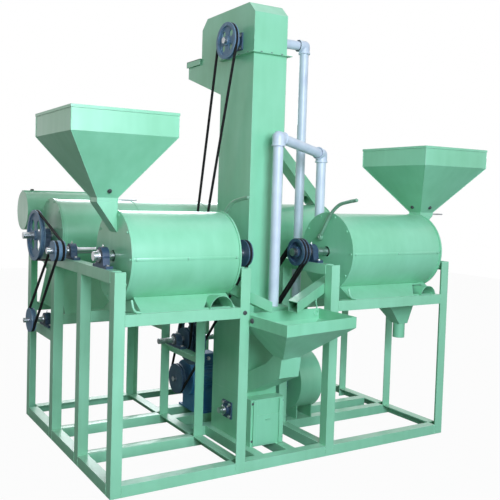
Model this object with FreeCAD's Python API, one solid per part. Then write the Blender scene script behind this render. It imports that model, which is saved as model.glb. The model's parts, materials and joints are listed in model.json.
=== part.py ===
import FreeCAD, Part
import math
import os
from FreeCAD import Vector

# Dal mill: two emery dehusking drums and a long grading reel on an angle-iron frame,
# with a bucket elevator between them. Millimetres. Modelling coordinates run from the
# front left floor corner of the frame (x right, y back, z up); the finished pieces are
# saved about the middle of the whole machine's footprint, on the floor.

# Frame
frame_length = 1950.0
frame_depth = 1249.0
left_bay_length = 663.0
centre_gap = 473.0
right_bay_start = left_bay_length + centre_gap
second_row_share = 0.317
third_row_share = 0.627
second_row_y = float(round(frame_depth * second_row_share))
third_row_y = float(round(frame_depth * third_row_share))
post_height = 943.0
angle_leg = 50.0
angle_wall = 5.0
front_rail_top = 766.0
second_rail_top = 720.0
third_rail_top = 640.0

# Clearances
touch_gap = 0.3
shaft_clearance = 0.05

# Front drums
drum_y = 198.0
drum_z = post_height + 50.0
drum_radius = 197.0
drum_wall = 4.0
end_plate_wall = 8.0
end_plate_lip = 6.0
left_drum_start = 80.0
left_drum_length = left_bay_length - left_drum_start - 63.0
right_drum_start = right_bay_start + 134.0
right_drum_length = frame_length - 70.0 - right_drum_start
roller_radius = 160.0
roller_end_gap = 30.0
roller_core_radius = 45.0
hub_wall = 10.0
left_shaft_start = -20.0
left_shaft_end = left_bay_length + 112.0
right_shaft_start = right_bay_start - 96.0
right_shaft_end = frame_length + 15.0
drum_shaft_radius = 20.0
drum_slot_width = 14.0
drum_slot_length = 56.0
drum_slot_pitch = 76.0
inlet_depth = 24.0

# Reel behind the drums
reel_y = (third_row_y + frame_depth) / 2
reel_z = post_height + 87.0
reel_radius = 193.0
reel_wall = 3.0
reel_start = 56.0
reel_end = frame_length - 100.0
reel_plate_wall = 5.0
reel_shaft_radius = 17.5
screen_radius = 155.0
screen_wall = 3.0
screen_end_gap = 40.0
screen_slat_count = 12
screen_spider_count = 4
reel_tray_gap = 8.0
reel_window_start = reel_end - 145.0
reel_window_end = reel_window_start + 83.0
reel_window_half = 40.0
reel_drop_share = 0.55
reel_drop_length = 120.0
reel_shaft_start = -100.0
reel_shaft_past = 90.0
screen_ring_width = 20.0
screen_ring_depth = 8.0
screen_arm_width = 20.0
screen_slat_width = 42.0

# Closed cylinder behind the reel
rear_drum_y = reel_y + 319.0
rear_drum_z = 1152.0
rear_drum_radius = 110.0
rear_drum_start = -16.0
rear_drum_end = 420.0
rear_strip_width = 40.0
rear_strip_wall = 4.0

# Lower shaft under the reel, which drives the blower
lower_shaft_y = reel_y - 40.0
lower_shaft_z = 588.0
lower_shaft_start = -100.0
lower_shaft_end = right_bay_start + 84.0
lower_shaft_radius = 12.5

# Hoppers
hopper_width = 467.0
hopper_wall = 3.0
hopper_band = 100.0
hopper_rim = 12.0
neck_width = 95.0
neck_depth = 82.0
neck_height = 17.0
left_neck_bottom = drum_z + 236.0
left_hopper_top = drum_z + 611.0
right_neck_bottom = drum_z + 194.0
right_hopper_top = drum_z + 562.0
inlet_height = 62.0
gate_wall = 3.0
gate_rise = 6.0
gate_runner = 8.0
gate_tongue = 22.0
gate_pull_reach = 70.0
gate_pull_radius = 4.0
gate_pull_half = 26.0

# Outlet levers: pivot, handle bends and the baffle inside the drum
lever_pivot_y = 243.0
lever_pivot_z = drum_z + 71.0
lever_pin_radius = 6.0
lever_rod_radius = 5.0
lever_bend_y = 169.0
lever_bend_z = lever_pivot_z + 117.0
lever_knee_y = 102.0
lever_knee_z = lever_pivot_z + 172.0
lever_tip_y = -26.0
lever_tip_z = lever_pivot_z + 202.0
lever_hub_radius = 14.0
lever_hub_length = 14.0
baffle_reach = 52.0
baffle_width = 36.0
baffle_wall = 4.0

# Outlet ducts from the drums to the trough
outlet_y = 160.0
outlet_width = 70.0
outlet_z = drum_z - 169.0
outlet_height = 50.0
duct_wall = 3.0
left_duct_end_x = left_bay_length + 85.0
left_duct_end_y = -20.0
right_duct_end_x = right_bay_start - 283.0
right_duct_end_y = -68.0

# Husk trays under the drums
tray_wall = 3.0
tray_lip_angle = 27.0
tray_end_gap = 6.0
tray_front_inset = 12.0
tray_left_inset = 50.0
tray_notch_length = 150.0
tray_notch_slant = 60.0

# Elevator
leg_start_x = left_bay_length + 122.0
leg_width = 195.0
leg_front_y = 215.0
leg_back_y = 515.0
elevator_wall = 3.0
boot_front_y = 145.0
boot_top = 280.0
head_top = 2210.0
head_bottom = head_top - 250.0
head_back_y = 725.0
head_chamfer = 52.0
spout_back_y = 870.0
spout_top = head_top - 205.0
spout_end_bottom = head_top - 295.0
spout_floor_low = head_top - 420.0
elevator_y = 355.0
head_shaft_z = head_top - 180.0
boot_shaft_z = 180.0
head_drum_radius = 72.0
elevator_shaft_radius = 15.0
bucket_belt_wall = 4.0
bucket_belt_width = 130.0
bucket_width = 120.0
bucket_depth = 46.0
bucket_height = 62.0
bucket_pitch = 320.0
cleanout_width = 120.0
cleanout_rise = 20.0
cleanout_height = 120.0
cleanout_overlap = 12.0
cleanout_pull = 24.0
flange_width = 20.0
boot_rail_left_x = leg_start_x - 35.0
boot_rail_right_x = leg_start_x + leg_width - 45.0
elevator_shaft_past = 55.0
head_pulley_past = 25.0
bucket_lip_share = 0.4
bucket_wall = 2.0

# Trough in front of the elevator
trough_back_y = 45.0
trough_front_y = -284.0
trough_right_x = right_bay_start - 35.0
trough_skew = 0.14
trough_top = 730.0
trough_band = 50.0
trough_wall = 3.0
trough_throat_front_y = -81.0
duct_end_z = trough_top + 12.0
inlet_left_x = leg_start_x + 15.0
inlet_width = 110.0
inlet_front_y = -70.0
inlet_throat_back = 0.0
inlet_top = 530.0
inlet_wall = 3.0
inlet_toe = 15.0
inlet_front_low = 436.0
inlet_knee_y = 52.0
inlet_knee_z = 483.0
inlet_back_low = 298.0
inlet_back_high = 400.0
air_box_height = 100.0

# Slanted chute from the elevator head to the reel
chute_height = 55.0
chute_width = 100.0
chute_top_z = head_top - 257.0
chute_top_y = 750.0
chute_end_x = reel_end - 50.0
chute_end_top = 1323.0
chute_wall = 2.0

# Plastic air pipes
pipe_radius = 25.0
pipe_wall = 3.0
elbow_radius = 30.0
elbow_length = 44.0
back_pipe_x = right_bay_start + 170.0
back_pipe_y = 500.0
back_pipe_top = head_top - 110.0
front_pipe_x = leg_start_x + 100.0
front_pipe_y = 130.0
front_pipe_bottom = 742.0
front_pipe_top = 1555.0
cross_pipe_end_x = right_drum_start + 28.0
cross_pipe_end_y = 310.0
cross_pipe_end_z = 1500.0

# Blower
blower_x = right_bay_start + 100.0
blower_width = 146.0
blower_y = 500.0
blower_z = 255.0
blower_radius = 165.0
blower_wall = 3.0
blower_shaft_radius = 12.5
blower_stand_reach = 104.0
blower_neck = 24.0
blower_neck_half = 45.0
blower_inlet_radius = 66.0
blower_inlet_length = 30.0
blower_stand_wall = 6.0
blower_stand_inset = 20.0
fan_hub_radius = 30.0
fan_blade_wall = 3.0
fan_radius = 130.0
fan_blade_count = 6

# Shafts and pulleys: belt planes and pitch radii
middle_bay_y = (second_row_y + angle_leg + third_row_y) / 2
line_shaft_y = middle_bay_y - 14.5
line_shaft_z = post_height + 40.0
line_shaft_radius = 15.0
line_shaft_start = -100.0
line_shaft_end = left_bay_length + 82.0
outer_belt_x = -60.0
inner_belt_x = -30.0
small_pulley_radius = 45.0
reel_pulley_radius = 130.0
lower_pulley_radius = 58.0
elevator_belt_x = left_bay_length + 57.0
line_drive_radius = 42.0
head_pulley_radius = 85.0
line_belt_x = left_bay_length + 27.0
counter_small_radius = 57.0
line_driven_radius = 75.0
counter_y = middle_bay_y + 41.5
counter_z = 490.0
counter_radius = 15.0
counter_start = left_bay_length - 133.0
counter_end = right_bay_start + 44.0
counter_big_radius = 135.0
counter_left_radius = 75.0
left_drum_belt_x = left_bay_length + 89.0
motor_belt_x = left_bay_length + 65.0
left_drum_pulley_radius = 60.0
right_drum_belt_xs = [right_bay_start - 63.0, right_bay_start - 44.0]
right_drum_pulley_radius = 65.0
counter_right_radius = 80.0
blower_belt_x = blower_x - 36.0
blower_pulley_radius = 40.0
lower_blower_radius = 85.0
belt_width = 13.0
belt_height = 9.0
belt_taper = 2.5
pulley_cheek = 5.0
pulley_bore_wall = 8.0

# Motor
motor_y = 805.0
motor_z = 235.0
motor_body_radius = 92.0
motor_start = left_bay_length + 112.0
motor_length = 300.0
motor_shaft_radius = 14.0
motor_pulley_radius = 78.0
motor_fin_count = 12
motor_foot_reach = 110.0
motor_foot_wall = 10.0
motor_fin_height = 8.0
motor_fin_wall = 4.0
motor_shield_width = 26.0
motor_box_size = 80.0
motor_shaft_reach = 75.0
motor_web_share = 0.7

# Bearings
bearing_width = 32.0
bearing_foot_wall = 12.0
bearing_foot_length = 156.0
low_block_height = 36.0
bearing_ring_wall = 20.0
flange_bearing_half = 42.0
flange_bearing_wall = 8.0
flange_bearing_boss = 14.0
bearing_web_foot_share = 1.2
bearing_web_top_share = 0.95
pulley_rim_wall = 8.0
pulley_web_wall = 6.0
spoke_count = 4
spoke_hole_share = 0.34
bolt_head_radius = 9.0
bolt_head_height = 6.0

# Husk funnel under the right tray
funnel_left_x = frame_length - 360.0
funnel_right_x = frame_length - 96.0
funnel_half_y = 80.0
funnel_top = 775.0
funnel_tube_x = frame_length - 150.0
funnel_tube_radius = 32.0
funnel_neck_z = 587.0
funnel_tube_bottom = 505.0
funnel_wall = 2.0

os.makedirs("parts", exist_ok=True)
pieces = {}


# Basic shapes
def box(x0, x1, y0, y1, z0, z1):
    return Part.makeBox(x1 - x0, y1 - y0, z1 - z0, Vector(x0, y0, z0))


def rod_x(x0, x1, y, z, radius):
    return Part.makeCylinder(radius, x1 - x0, Vector(x0, y, z), Vector(1, 0, 0))


def tube_x(x0, x1, y, z, radius, wall):
    return rod_x(x0, x1, y, z, radius).cut(rod_x(x0 - 1, x1 + 1, y, z, radius - wall))


def rod_between(start, end, radius):
    return Part.makeCylinder(radius, (end - start).Length, start, end - start)


def profile_x(points, x0, x1):
    wire = Part.makePolygon([Vector(x0, y, z) for y, z in points + points[:1]])
    return Part.Face(wire).extrude(Vector(x1 - x0, 0, 0))


def profile_y(points, y0, y1):
    wire = Part.makePolygon([Vector(x, y0, z) for x, z in points + points[:1]])
    return Part.Face(wire).extrude(Vector(0, y1 - y0, 0))


# Solid with flat sides between two outlines that have the same corners in the same order
def flat_sided(first, second):
    faces = []
    for outline in (first, second):
        faces.append(Part.Face(Part.makePolygon(outline + outline[:1])))
    for i in range(len(first)):
        j = (i + 1) % len(first)
        faces.append(Part.Face(Part.makePolygon([first[i], first[j], second[j], second[i],
                                                 first[i]])))
    solid = Part.makeSolid(Part.makeShell(faces))
    return solid if solid.Volume > 0 else solid.reversed()


def flat_rectangle(x0, x1, y0, y1, z):
    return [Vector(x0, y0, z), Vector(x1, y0, z), Vector(x1, y1, z), Vector(x0, y1, z)]


def side_rectangle(x, y0, y1, z0, z1):
    return [Vector(x, y0, z0), Vector(x, y1, z0), Vector(x, y1, z1), Vector(x, y0, z1)]


# Walls between two rectangular levels: four flat plates, mitred where they are welded
def wall_plates(level, next_level, outline):
    plates = []
    outer = [outline(level, 0), outline(next_level, 0)]
    inner = [outline(level, 1), outline(next_level, 1)]
    for i in range(4):
        j = (i + 1) % 4
        plates.append(flat_sided([outer[0][i], outer[0][j], outer[1][j], outer[1][i]],
                                 [inner[0][i], inner[0][j], inner[1][j], inner[1][i]]))
    return plates


# An outline of (y, z) corners moved inwards by one wall, whichever way round it runs
def inset_outline(points, wall):
    area = sum(a[0] * b[1] - b[0] * a[1] for a, b in zip(points, points[1:] + points[:1]))
    turn = 1 if area > 0 else -1
    inside = []
    for before, here, after in zip(points[-1:] + points[:-1], points, points[1:] + points[:1]):
        arriving = math.atan2(here[1] - before[1], here[0] - before[0]) + turn * math.pi / 2
        leaving = math.atan2(after[1] - here[1], after[0] - here[0]) + turn * math.pi / 2
        middle = Vector(math.cos(arriving) + math.cos(leaving),
                        math.sin(arriving) + math.sin(leaving), 0)
        move = middle * (wall / (1 + math.cos(arriving - leaving)))
        inside.append((here[0] + move.x, here[1] + move.y))
    return inside


# Box of sheet metal: two side plates with a flat plate between them on each closed edge
def sheet_box(outline, x0, x1, wall, open_edges):
    inside = inset_outline(outline, wall)
    plates = [profile_x(outline, x0, x0 + wall), profile_x(outline, x1 - wall, x1)]
    for i in range(len(outline)):
        j = (i + 1) % len(outline)
        if i not in open_edges:
            plates.append(profile_x([outline[i], outline[j], inside[j], inside[i]],
                                    x0 + wall, x1 - wall))
    return plates


def join(shapes):
    whole = shapes[0]
    for shape in shapes[1:]:
        whole = whole.fuse(shape)
    return whole.removeSplitter()


def cut_all(shape, tools):
    for tool in tools:
        shape = shape.cut(tool)
    return shape


def save(name, shapes):
    pieces[name] = Part.makeCompound(shapes) if isinstance(shapes, list) else shapes


# Writes every node, moved so that the footprint's middle is at the origin
def write_pieces():
    whole = Part.makeCompound(list(pieces.values())).optimalBoundingBox()
    middle = Vector((whole.XMin + whole.XMax) / 2, (whole.YMin + whole.YMax) / 2, 0)
    for name, shape in pieces.items():
        moved = shape.copy()
        moved.translate(-middle)
        moved.exportStep("parts/" + name + ".step")


# Angle iron: x, y, z is the outer corner, first and second are the leg directions
def angle_bar(corner, along, length, first, second):
    far = first * angle_leg
    side = second * angle_leg
    thin_first = first * angle_wall
    thin_second = second * angle_wall
    outline = [corner, corner + far, corner + far + thin_second,
               corner + thin_first + thin_second, corner + side + thin_first, corner + side]
    return Part.Face(Part.makePolygon(outline + outline[:1])).extrude(along * length)


RIGHT = Vector(1, 0, 0)
LEFT = Vector(-1, 0, 0)
BACK = Vector(0, 1, 0)
FRONT = Vector(0, -1, 0)
UP = Vector(0, 0, 1)
DOWN = Vector(0, 0, -1)

row_ys = (0.0, second_row_y, third_row_y)
rail_tops = (front_rail_top, second_rail_top, third_rail_top)
low_post_height = post_height - angle_leg


def post(x, y, height, across, into):
    return angle_bar(Vector(x, y, 0), UP, height, across, into)


# Posts of one bay: the corner posts reach the top, the middle ones carry the end beams
def bay_posts(x_left, x_right, left_end_y, right_end_y):
    posts = []
    for x, across, beam_end in ((x_left, RIGHT, left_end_y), (x_right, LEFT, right_end_y)):
        for y in row_ys:
            under_beam = 0 < y < beam_end - angle_leg
            posts.append(post(x, y, low_post_height if under_beam else post_height, across, BACK))
        posts.append(post(x, frame_depth, post_height, across, FRONT))
    return posts


# Rails along x between the posts of each row, one leg up the outside and one on top
def bay_rails(x_left, x_right):
    rails = []
    start = x_left + angle_leg
    length = x_right - x_left - 2 * angle_leg
    for y, top in zip(row_ys, rail_tops):
        rails.append(angle_bar(Vector(start, y, top), RIGHT, length, BACK, DOWN))
    rails.append(angle_bar(Vector(start, frame_depth, third_rail_top), RIGHT, length, FRONT, DOWN))
    return rails


# A beam along y at the top of one side, between the corner posts
def end_beam(x, across, y_end):
    return angle_bar(Vector(x, angle_leg, post_height), BACK, y_end - angle_leg, across, DOWN)


# Base rails along y of one side, broken by the middle posts
def side_base_rails(x, across):
    rails = []
    stops = [angle_leg, second_row_y, second_row_y + angle_leg, third_row_y,
             third_row_y + angle_leg, frame_depth - angle_leg]
    for start, end in zip(stops[::2], stops[1::2]):
        rails.append(angle_bar(Vector(x, start, angle_leg), BACK, end - start, across, DOWN))
    return rails


def build_frame():
    short_end = third_row_y + angle_leg
    left_posts = bay_posts(0, left_bay_length, frame_depth, short_end)
    right_posts = bay_posts(right_bay_start, frame_length, short_end, frame_depth)
    save("posts", left_posts + right_posts)
    beams = [end_beam(0, RIGHT, frame_depth - angle_leg),
             end_beam(left_bay_length, LEFT, third_row_y),
             end_beam(right_bay_start, RIGHT, third_row_y),
             end_beam(frame_length, LEFT, frame_depth - angle_leg)]
    save("upper_rails", bay_rails(0, left_bay_length)
         + bay_rails(right_bay_start, frame_length) + beams + bearing_rails())
    stops = [angle_leg, left_bay_length - angle_leg, left_bay_length, right_bay_start,
             right_bay_start + angle_leg, frame_length - angle_leg]
    long_rails = []
    for start, end in zip(stops[::2], stops[1::2]):
        long_rails.append(angle_bar(Vector(start, 0, angle_leg), RIGHT, end - start, BACK, DOWN))
        long_rails.append(angle_bar(Vector(start, frame_depth, angle_leg), RIGHT, end - start,
                                    FRONT, DOWN))
    side_rails = (side_base_rails(0, RIGHT) + side_base_rails(left_bay_length, LEFT)
                  + side_base_rails(right_bay_start, RIGHT) + side_base_rails(frame_length, LEFT))
    save("base_rails", long_rails + side_rails + floor_rails())


# Short beams between middle posts that carry the bearings below the top beams
def bearing_rails():
    counter_top = counter_z - low_block_height
    lower_top = lower_shaft_z - low_block_height
    rails = []
    for x, across in ((left_bay_length, LEFT), (right_bay_start, RIGHT)):
        start = second_row_y + angle_leg
        rails.append(angle_bar(Vector(x, start, counter_top), BACK, third_row_y - start, across, DOWN))
    start = third_row_y + angle_leg
    length = frame_depth - angle_leg - start
    for x, across in ((0, RIGHT), (left_bay_length, LEFT), (right_bay_start, RIGHT)):
        rails.append(angle_bar(Vector(x, start, lower_top), BACK, length, across, DOWN))
    return rails


# Rails on the floor under the elevator boot, the motor and the blower
def floor_rails():
    cross_length = right_bay_start - left_bay_length
    boot = [angle_bar(Vector(boot_rail_left_x, angle_leg, angle_leg), BACK,
                      leg_back_y - angle_leg, RIGHT, DOWN),
            angle_bar(Vector(boot_rail_right_x, angle_leg, angle_leg), BACK,
                      leg_back_y - angle_leg, RIGHT, DOWN),
            angle_bar(Vector(left_bay_length, leg_back_y, angle_leg), RIGHT, cross_length,
                      BACK, DOWN)]
    inner_length = frame_length - right_bay_start - 2 * angle_leg
    blower = [angle_bar(Vector(right_bay_start + angle_leg, y, angle_leg), RIGHT, inner_length,
                        BACK, DOWN)
              for y in (blower_y - blower_stand_reach, blower_y + blower_stand_reach - angle_leg)]
    motor = []
    for y in (motor_y - motor_foot_reach, motor_y + motor_foot_reach - angle_leg):
        motor.append(angle_bar(Vector(left_bay_length, y, angle_leg), RIGHT, cross_length, BACK, DOWN))
    return boot + blower + motor


# Sheet tray under a drum: lips rise from the rails to the drum, ends are closed
def tray(x_start, x_end, front, back, axis_y, axis_z, radius):
    inside = radius - 4 * tray_wall
    lean = math.radians(tray_lip_angle)
    lip_y = inside * math.sin(lean)
    lip_z = axis_z - inside * math.cos(lean)
    outline = front[:1] + [(axis_y - lip_y, lip_z), (axis_y + lip_y, lip_z)] + back + front[1:]
    whole = profile_x(outline, x_start, x_end)
    wire = Part.makePolygon([Vector(x_start + tray_wall, y, z) for y, z in outline + outline[:1]])
    inner = Part.Face(wire).makeOffset2D(-tray_wall, 2, False, False)
    hollow = inner.extrude(Vector(x_end - x_start - 2 * tray_wall, 0, 0))
    round_top = rod_x(x_start - 1, x_end + 1, axis_y, axis_z, radius + touch_gap)
    return whole.cut(hollow).cut(round_top)


# Edges of a front tray: a flat on each rail, the floor slopes between them
front_tray_front = [(tray_front_inset, front_rail_top), (angle_leg + tray_wall, front_rail_top)]
front_tray_back = [(second_row_y + angle_leg - tray_wall, second_rail_top),
                   (second_row_y - tray_wall, second_rail_top)]


def build_trays():
    for name, drum_start, drum_length, side in (
            ("left_husk_tray", left_drum_start, left_drum_length, 1),
            ("right_husk_tray", right_drum_start, right_drum_length, -1)):
        start = drum_start + (tray_left_inset if side > 0 else tray_end_gap)
        end = drum_start + drum_length - tray_end_gap
        pan = tray(start, end, front_tray_front, front_tray_back, drum_y, drum_z, drum_radius)
        if side < 0:
            pan = pan.cut(box(funnel_left_x + angle_leg, funnel_right_x - 2 * funnel_tube_radius,
                              drum_y - funnel_half_y / 2, drum_y + funnel_half_y / 2,
                              funnel_neck_z, front_rail_top))
        notch_end = end - tray_wall - tray_end_gap
        notch_low = front_rail_top + 2 * tray_wall
        notch_high = drum_z - drum_radius * math.cos(math.radians(tray_lip_angle)) - 2 * tray_wall
        notch = [(notch_end - tray_notch_length, notch_low), (notch_end, notch_low),
                 (notch_end - tray_notch_slant / 2, notch_high),
                 (notch_end - tray_notch_length + tray_notch_slant, notch_high)]
        pan = pan.cut(profile_y(notch, 0, drum_y - drum_radius / 2 + tray_front_inset))
        save(name, pan)
    reel_front = [(third_row_y + reel_tray_gap, third_rail_top)]
    reel_back = [(frame_depth - reel_tray_gap, third_rail_top)]
    spans = ((reel_start + tray_end_gap, left_bay_length - angle_leg - tray_end_gap),
             (blower_belt_x + belt_width + tray_end_gap, reel_end - tray_end_gap))
    pans = [tray(start, end, reel_front, reel_back, reel_y, reel_z, reel_radius)
            for start, end in spans]
    save("reel_trays", pans)


# Drum shell: rolled sheet with screen slots over the tray and a bolted seam strip
def drum_shell(start, length):
    end = start + length
    shell = tube_x(start, end, drum_y, drum_z, drum_radius, drum_wall)
    count = int((length - 2 * drum_slot_pitch) / drum_slot_pitch)
    first = start + (length - (count - 1) * drum_slot_pitch) / 2
    for i in range(count):
        middle = first + i * drum_slot_pitch
        for side in (-1, 1):
            slot_y = drum_y + side * drum_slot_pitch / 2
            shell = shell.cut(box(middle - drum_slot_length / 2, middle + drum_slot_length / 2,
                                  slot_y - drum_slot_width / 2, slot_y + drum_slot_width / 2,
                                  drum_z - drum_radius - 1, drum_z - drum_radius / 2))
    return shell


def drum_window(x_start, x_end, low_z):
    half = neck_depth / 2 - hopper_wall
    return box(x_start, x_end, drum_y - half, drum_y + half, low_z, low_z + inlet_height)


inlet_bottom = drum_z + drum_radius - drum_wall - inlet_depth - inlet_height


# End plate with a raised rim, a shaft hole and, where needed, a window
def end_plate(x_start, x_end, windows):
    plate = rod_x(x_start, x_end, drum_y, drum_z, drum_radius + end_plate_lip)
    hole = rod_x(x_start - 1, x_end + 1, drum_y, drum_z, drum_shaft_radius + end_plate_lip)
    return cut_all(plate, [hole] + windows)


def outlet_window(x_start, x_end):
    return box(x_start - 1, x_end + 1, outlet_y - outlet_width / 2 + duct_wall,
               outlet_y + outlet_width / 2 - duct_wall, outlet_z + duct_wall,
               outlet_z + outlet_height - duct_wall)


def pivot_hole(x_start, x_end):
    return rod_x(x_start - 1, x_end + 1, lever_pivot_y, lever_pivot_z,
                 lever_pin_radius + shaft_clearance)


# Emery roller on its shaft, with the steel hubs that hold the stone
def roller(start, length, shaft_start, shaft_end):
    stone_start = start + roller_end_gap
    stone_end = start + length - roller_end_gap
    stone = rod_x(stone_start, stone_end, drum_y, drum_z, roller_radius)
    stone = stone.cut(rod_x(stone_start - 1, stone_end + 1, drum_y, drum_z, roller_core_radius))
    hubs = []
    for x in (stone_start - hub_wall, stone_end):
        hubs.append(rod_x(x, x + hub_wall, drum_y, drum_z, roller_core_radius * 2))
    core = rod_x(stone_start, stone_end, drum_y, drum_z, roller_core_radius)
    shaft = rod_x(shaft_start, shaft_end, drum_y, drum_z, drum_shaft_radius)
    return stone, join([shaft, core] + hubs)


def build_drums():
    left_end = left_drum_start + left_drum_length
    right_end = right_drum_start + right_drum_length
    save("left_drum_shell", drum_shell(left_drum_start, left_drum_length))
    save("right_drum_shell", drum_shell(right_drum_start, right_drum_length))
    left_outer = left_drum_start - end_plate_wall
    right_outer = right_end + end_plate_wall
    right_inner = right_drum_start - end_plate_wall
    feed = end_plate(left_outer, left_drum_start,
                     [drum_window(left_outer - 1, left_drum_start + 1, inlet_bottom)])
    outlet = end_plate(left_end, left_end + end_plate_wall,
                       [outlet_window(left_end, left_end + end_plate_wall),
                        pivot_hole(left_end, left_end + end_plate_wall)])
    save("left_drum_end_plates", [feed, outlet])
    feed = end_plate(right_end, right_outer,
                     [drum_window(right_end - 1, right_outer + 1, inlet_bottom)])
    outlet = end_plate(right_inner, right_drum_start,
                       [outlet_window(right_inner, right_drum_start),
                        pivot_hole(right_inner, right_drum_start)])
    save("right_drum_end_plates", [feed, outlet])
    stone, shaft = roller(left_drum_start, left_drum_length, left_shaft_start, left_shaft_end)
    save("left_emery_roller", stone)
    save("left_drum_shaft", shaft)
    stone, shaft = roller(right_drum_start, right_drum_length, right_shaft_start, right_shaft_end)
    save("right_emery_roller", stone)
    save("right_drum_shaft", shaft)


# Discharge duct: four plates that slope from an outlet window forward into the trough
def outlet_duct(plate_x, end_x, end_y):
    def outline(level, inside):
        x, middle_y, low = level
        inset = inside * duct_wall
        half = outlet_width / 2 - inset
        return side_rectangle(x, middle_y - half, middle_y + half, low + inset,
                              low + outlet_height - inset)
    return wall_plates((plate_x, outlet_y, outlet_z), (end_x, end_y, duct_end_z), outline)


def build_outlet_ducts():
    left_start = left_drum_start + left_drum_length + end_plate_wall
    right_start = right_drum_start - end_plate_wall
    save("outlet_ducts", outlet_duct(left_start, left_duct_end_x, left_duct_end_y)
         + outlet_duct(right_start, right_duct_end_x, right_duct_end_y))


# Discharge lever: a bent rod outside, a pin through the outlet plate, a baffle inside
def outlet_lever(plate_outer, plate_inner, side):
    hub_start = plate_outer + side * touch_gap
    hub_end = hub_start + side * lever_hub_length
    rod_plane = hub_start + side * lever_hub_length / 2
    baffle_start = plate_inner - side * touch_gap
    baffle_end = baffle_start - side * baffle_wall
    hub_xs = sorted((hub_start, hub_end))
    baffle_xs = sorted((baffle_start, baffle_end))
    pin_xs = sorted((baffle_end, hub_end))
    bends = [Vector(rod_plane, lever_pivot_y, lever_pivot_z),
             Vector(rod_plane, lever_bend_y, lever_bend_z),
             Vector(rod_plane, lever_knee_y, lever_knee_z),
             Vector(rod_plane, lever_tip_y, lever_tip_z)]
    pieces = [rod_x(hub_xs[0], hub_xs[1], lever_pivot_y, lever_pivot_z, lever_hub_radius),
              rod_x(pin_xs[0], pin_xs[1], lever_pivot_y, lever_pivot_z, lever_pin_radius)]
    for start, end in zip(bends, bends[1:]):
        pieces.append(rod_between(start, end, lever_rod_radius))
    for bend in bends[1:]:
        pieces.append(Part.makeSphere(lever_rod_radius, bend))
    half = baffle_width / 2
    baffle = box(baffle_xs[0], baffle_xs[1], lever_pivot_y - half, lever_pivot_y + half,
                 lever_pivot_z - baffle_reach, lever_pivot_z + lever_hub_radius)
    return join(pieces + [baffle])


def build_levers():
    left_inner = left_drum_start + left_drum_length
    save("left_outlet_lever", outlet_lever(left_inner + end_plate_wall, left_inner, 1))
    save("right_outlet_lever", outlet_lever(right_drum_start - end_plate_wall,
                                            right_drum_start, -1))


# Hopper welded from plates: straight band with a folded rim, inverted pyramid and neck
def hopper(middle_x, top, neck_bottom):
    half = hopper_width / 2
    neck_x = neck_width / 2
    neck_y = neck_depth / 2

    def outline(level, inside):
        half_x, half_y, z = level
        half_x -= inside * hopper_wall
        half_y -= inside * hopper_wall
        return flat_rectangle(middle_x - half_x, middle_x + half_x, drum_y - half_y,
                              drum_y + half_y, z)
    levels = [(half, half, top), (half, half, top - hopper_band),
              (neck_x, neck_y, neck_bottom + neck_height), (neck_x, neck_y, neck_bottom)]
    rim = half + hopper_wall
    plates = wall_plates((rim, rim, top), (rim, rim, top - hopper_rim), outline)
    for upper, lower in zip(levels, levels[1:]):
        plates += wall_plates(upper, lower, outline)
    gate_z = neck_bottom + gate_rise
    slot = box(middle_x, middle_x + neck_x + 1, drum_y - neck_y + hopper_wall,
               drum_y + neck_y - hopper_wall, gate_z - touch_gap, gate_z + gate_wall + touch_gap)
    for side in (-1, 1):
        wall_y = drum_y + side * (neck_y - hopper_wall)
        ys = sorted((wall_y, wall_y - side * gate_runner))
        plates.append(box(middle_x - neck_x + hopper_wall, middle_x + neck_x - hopper_wall,
                          ys[0], ys[1], gate_z - touch_gap - gate_wall, gate_z - touch_gap))
    return [plate.cut(slot) for plate in plates]


# Slide gate: flat plate in the neck with a bent wire pull
def feed_gate(middle_x, neck_bottom):
    gate_z = neck_bottom + gate_rise
    half = neck_depth / 2 - hopper_wall - touch_gap
    inner = middle_x - (neck_width / 2 - hopper_wall - touch_gap)
    outer = middle_x + neck_width / 2 + gate_tongue
    plate = box(inner, outer, drum_y - half, drum_y + half, gate_z, gate_z + gate_wall)
    wire_z = gate_z + gate_wall / 2
    bends = [Vector(outer, drum_y - gate_pull_half, wire_z),
             Vector(outer + gate_pull_reach, drum_y - gate_pull_half, wire_z),
             Vector(outer + gate_pull_reach, drum_y + gate_pull_half, wire_z),
             Vector(outer, drum_y + gate_pull_half, wire_z)]
    wires = [rod_between(start, end, gate_pull_radius) for start, end in zip(bends, bends[1:])]
    corners = [Part.makeSphere(gate_pull_radius, bend) for bend in bends]
    return join([plate] + wires + corners)


# Wedge chute from the hopper neck through the window of the feed plate
def feed_chute(plate_x, neck_bottom, outward):
    def corner(reach, z):
        return (plate_x + outward * reach, z)
    window_top = inlet_bottom + inlet_height
    floor_rise = neck_bottom - inlet_bottom
    outline = [corner(neck_width, neck_bottom), corner(0, neck_bottom),
               corner(0, inlet_bottom - hopper_wall),
               corner(neck_width, neck_bottom - hopper_wall)]
    inner_rise = floor_rise * (neck_width - hopper_wall) / neck_width
    hollow = [corner(neck_width - hopper_wall, neck_bottom + 1),
              corner(hopper_wall, neck_bottom + 1), corner(hopper_wall, window_top),
              corner(-1, window_top), corner(-1, inlet_bottom),
              corner(neck_width - hopper_wall, inlet_bottom + inner_rise)]
    half = neck_depth / 2
    body = profile_y(outline, drum_y - half, drum_y + half)
    space = profile_y(hollow, drum_y - half + hopper_wall, drum_y + half - hopper_wall)
    return body.cut(space)


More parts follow.
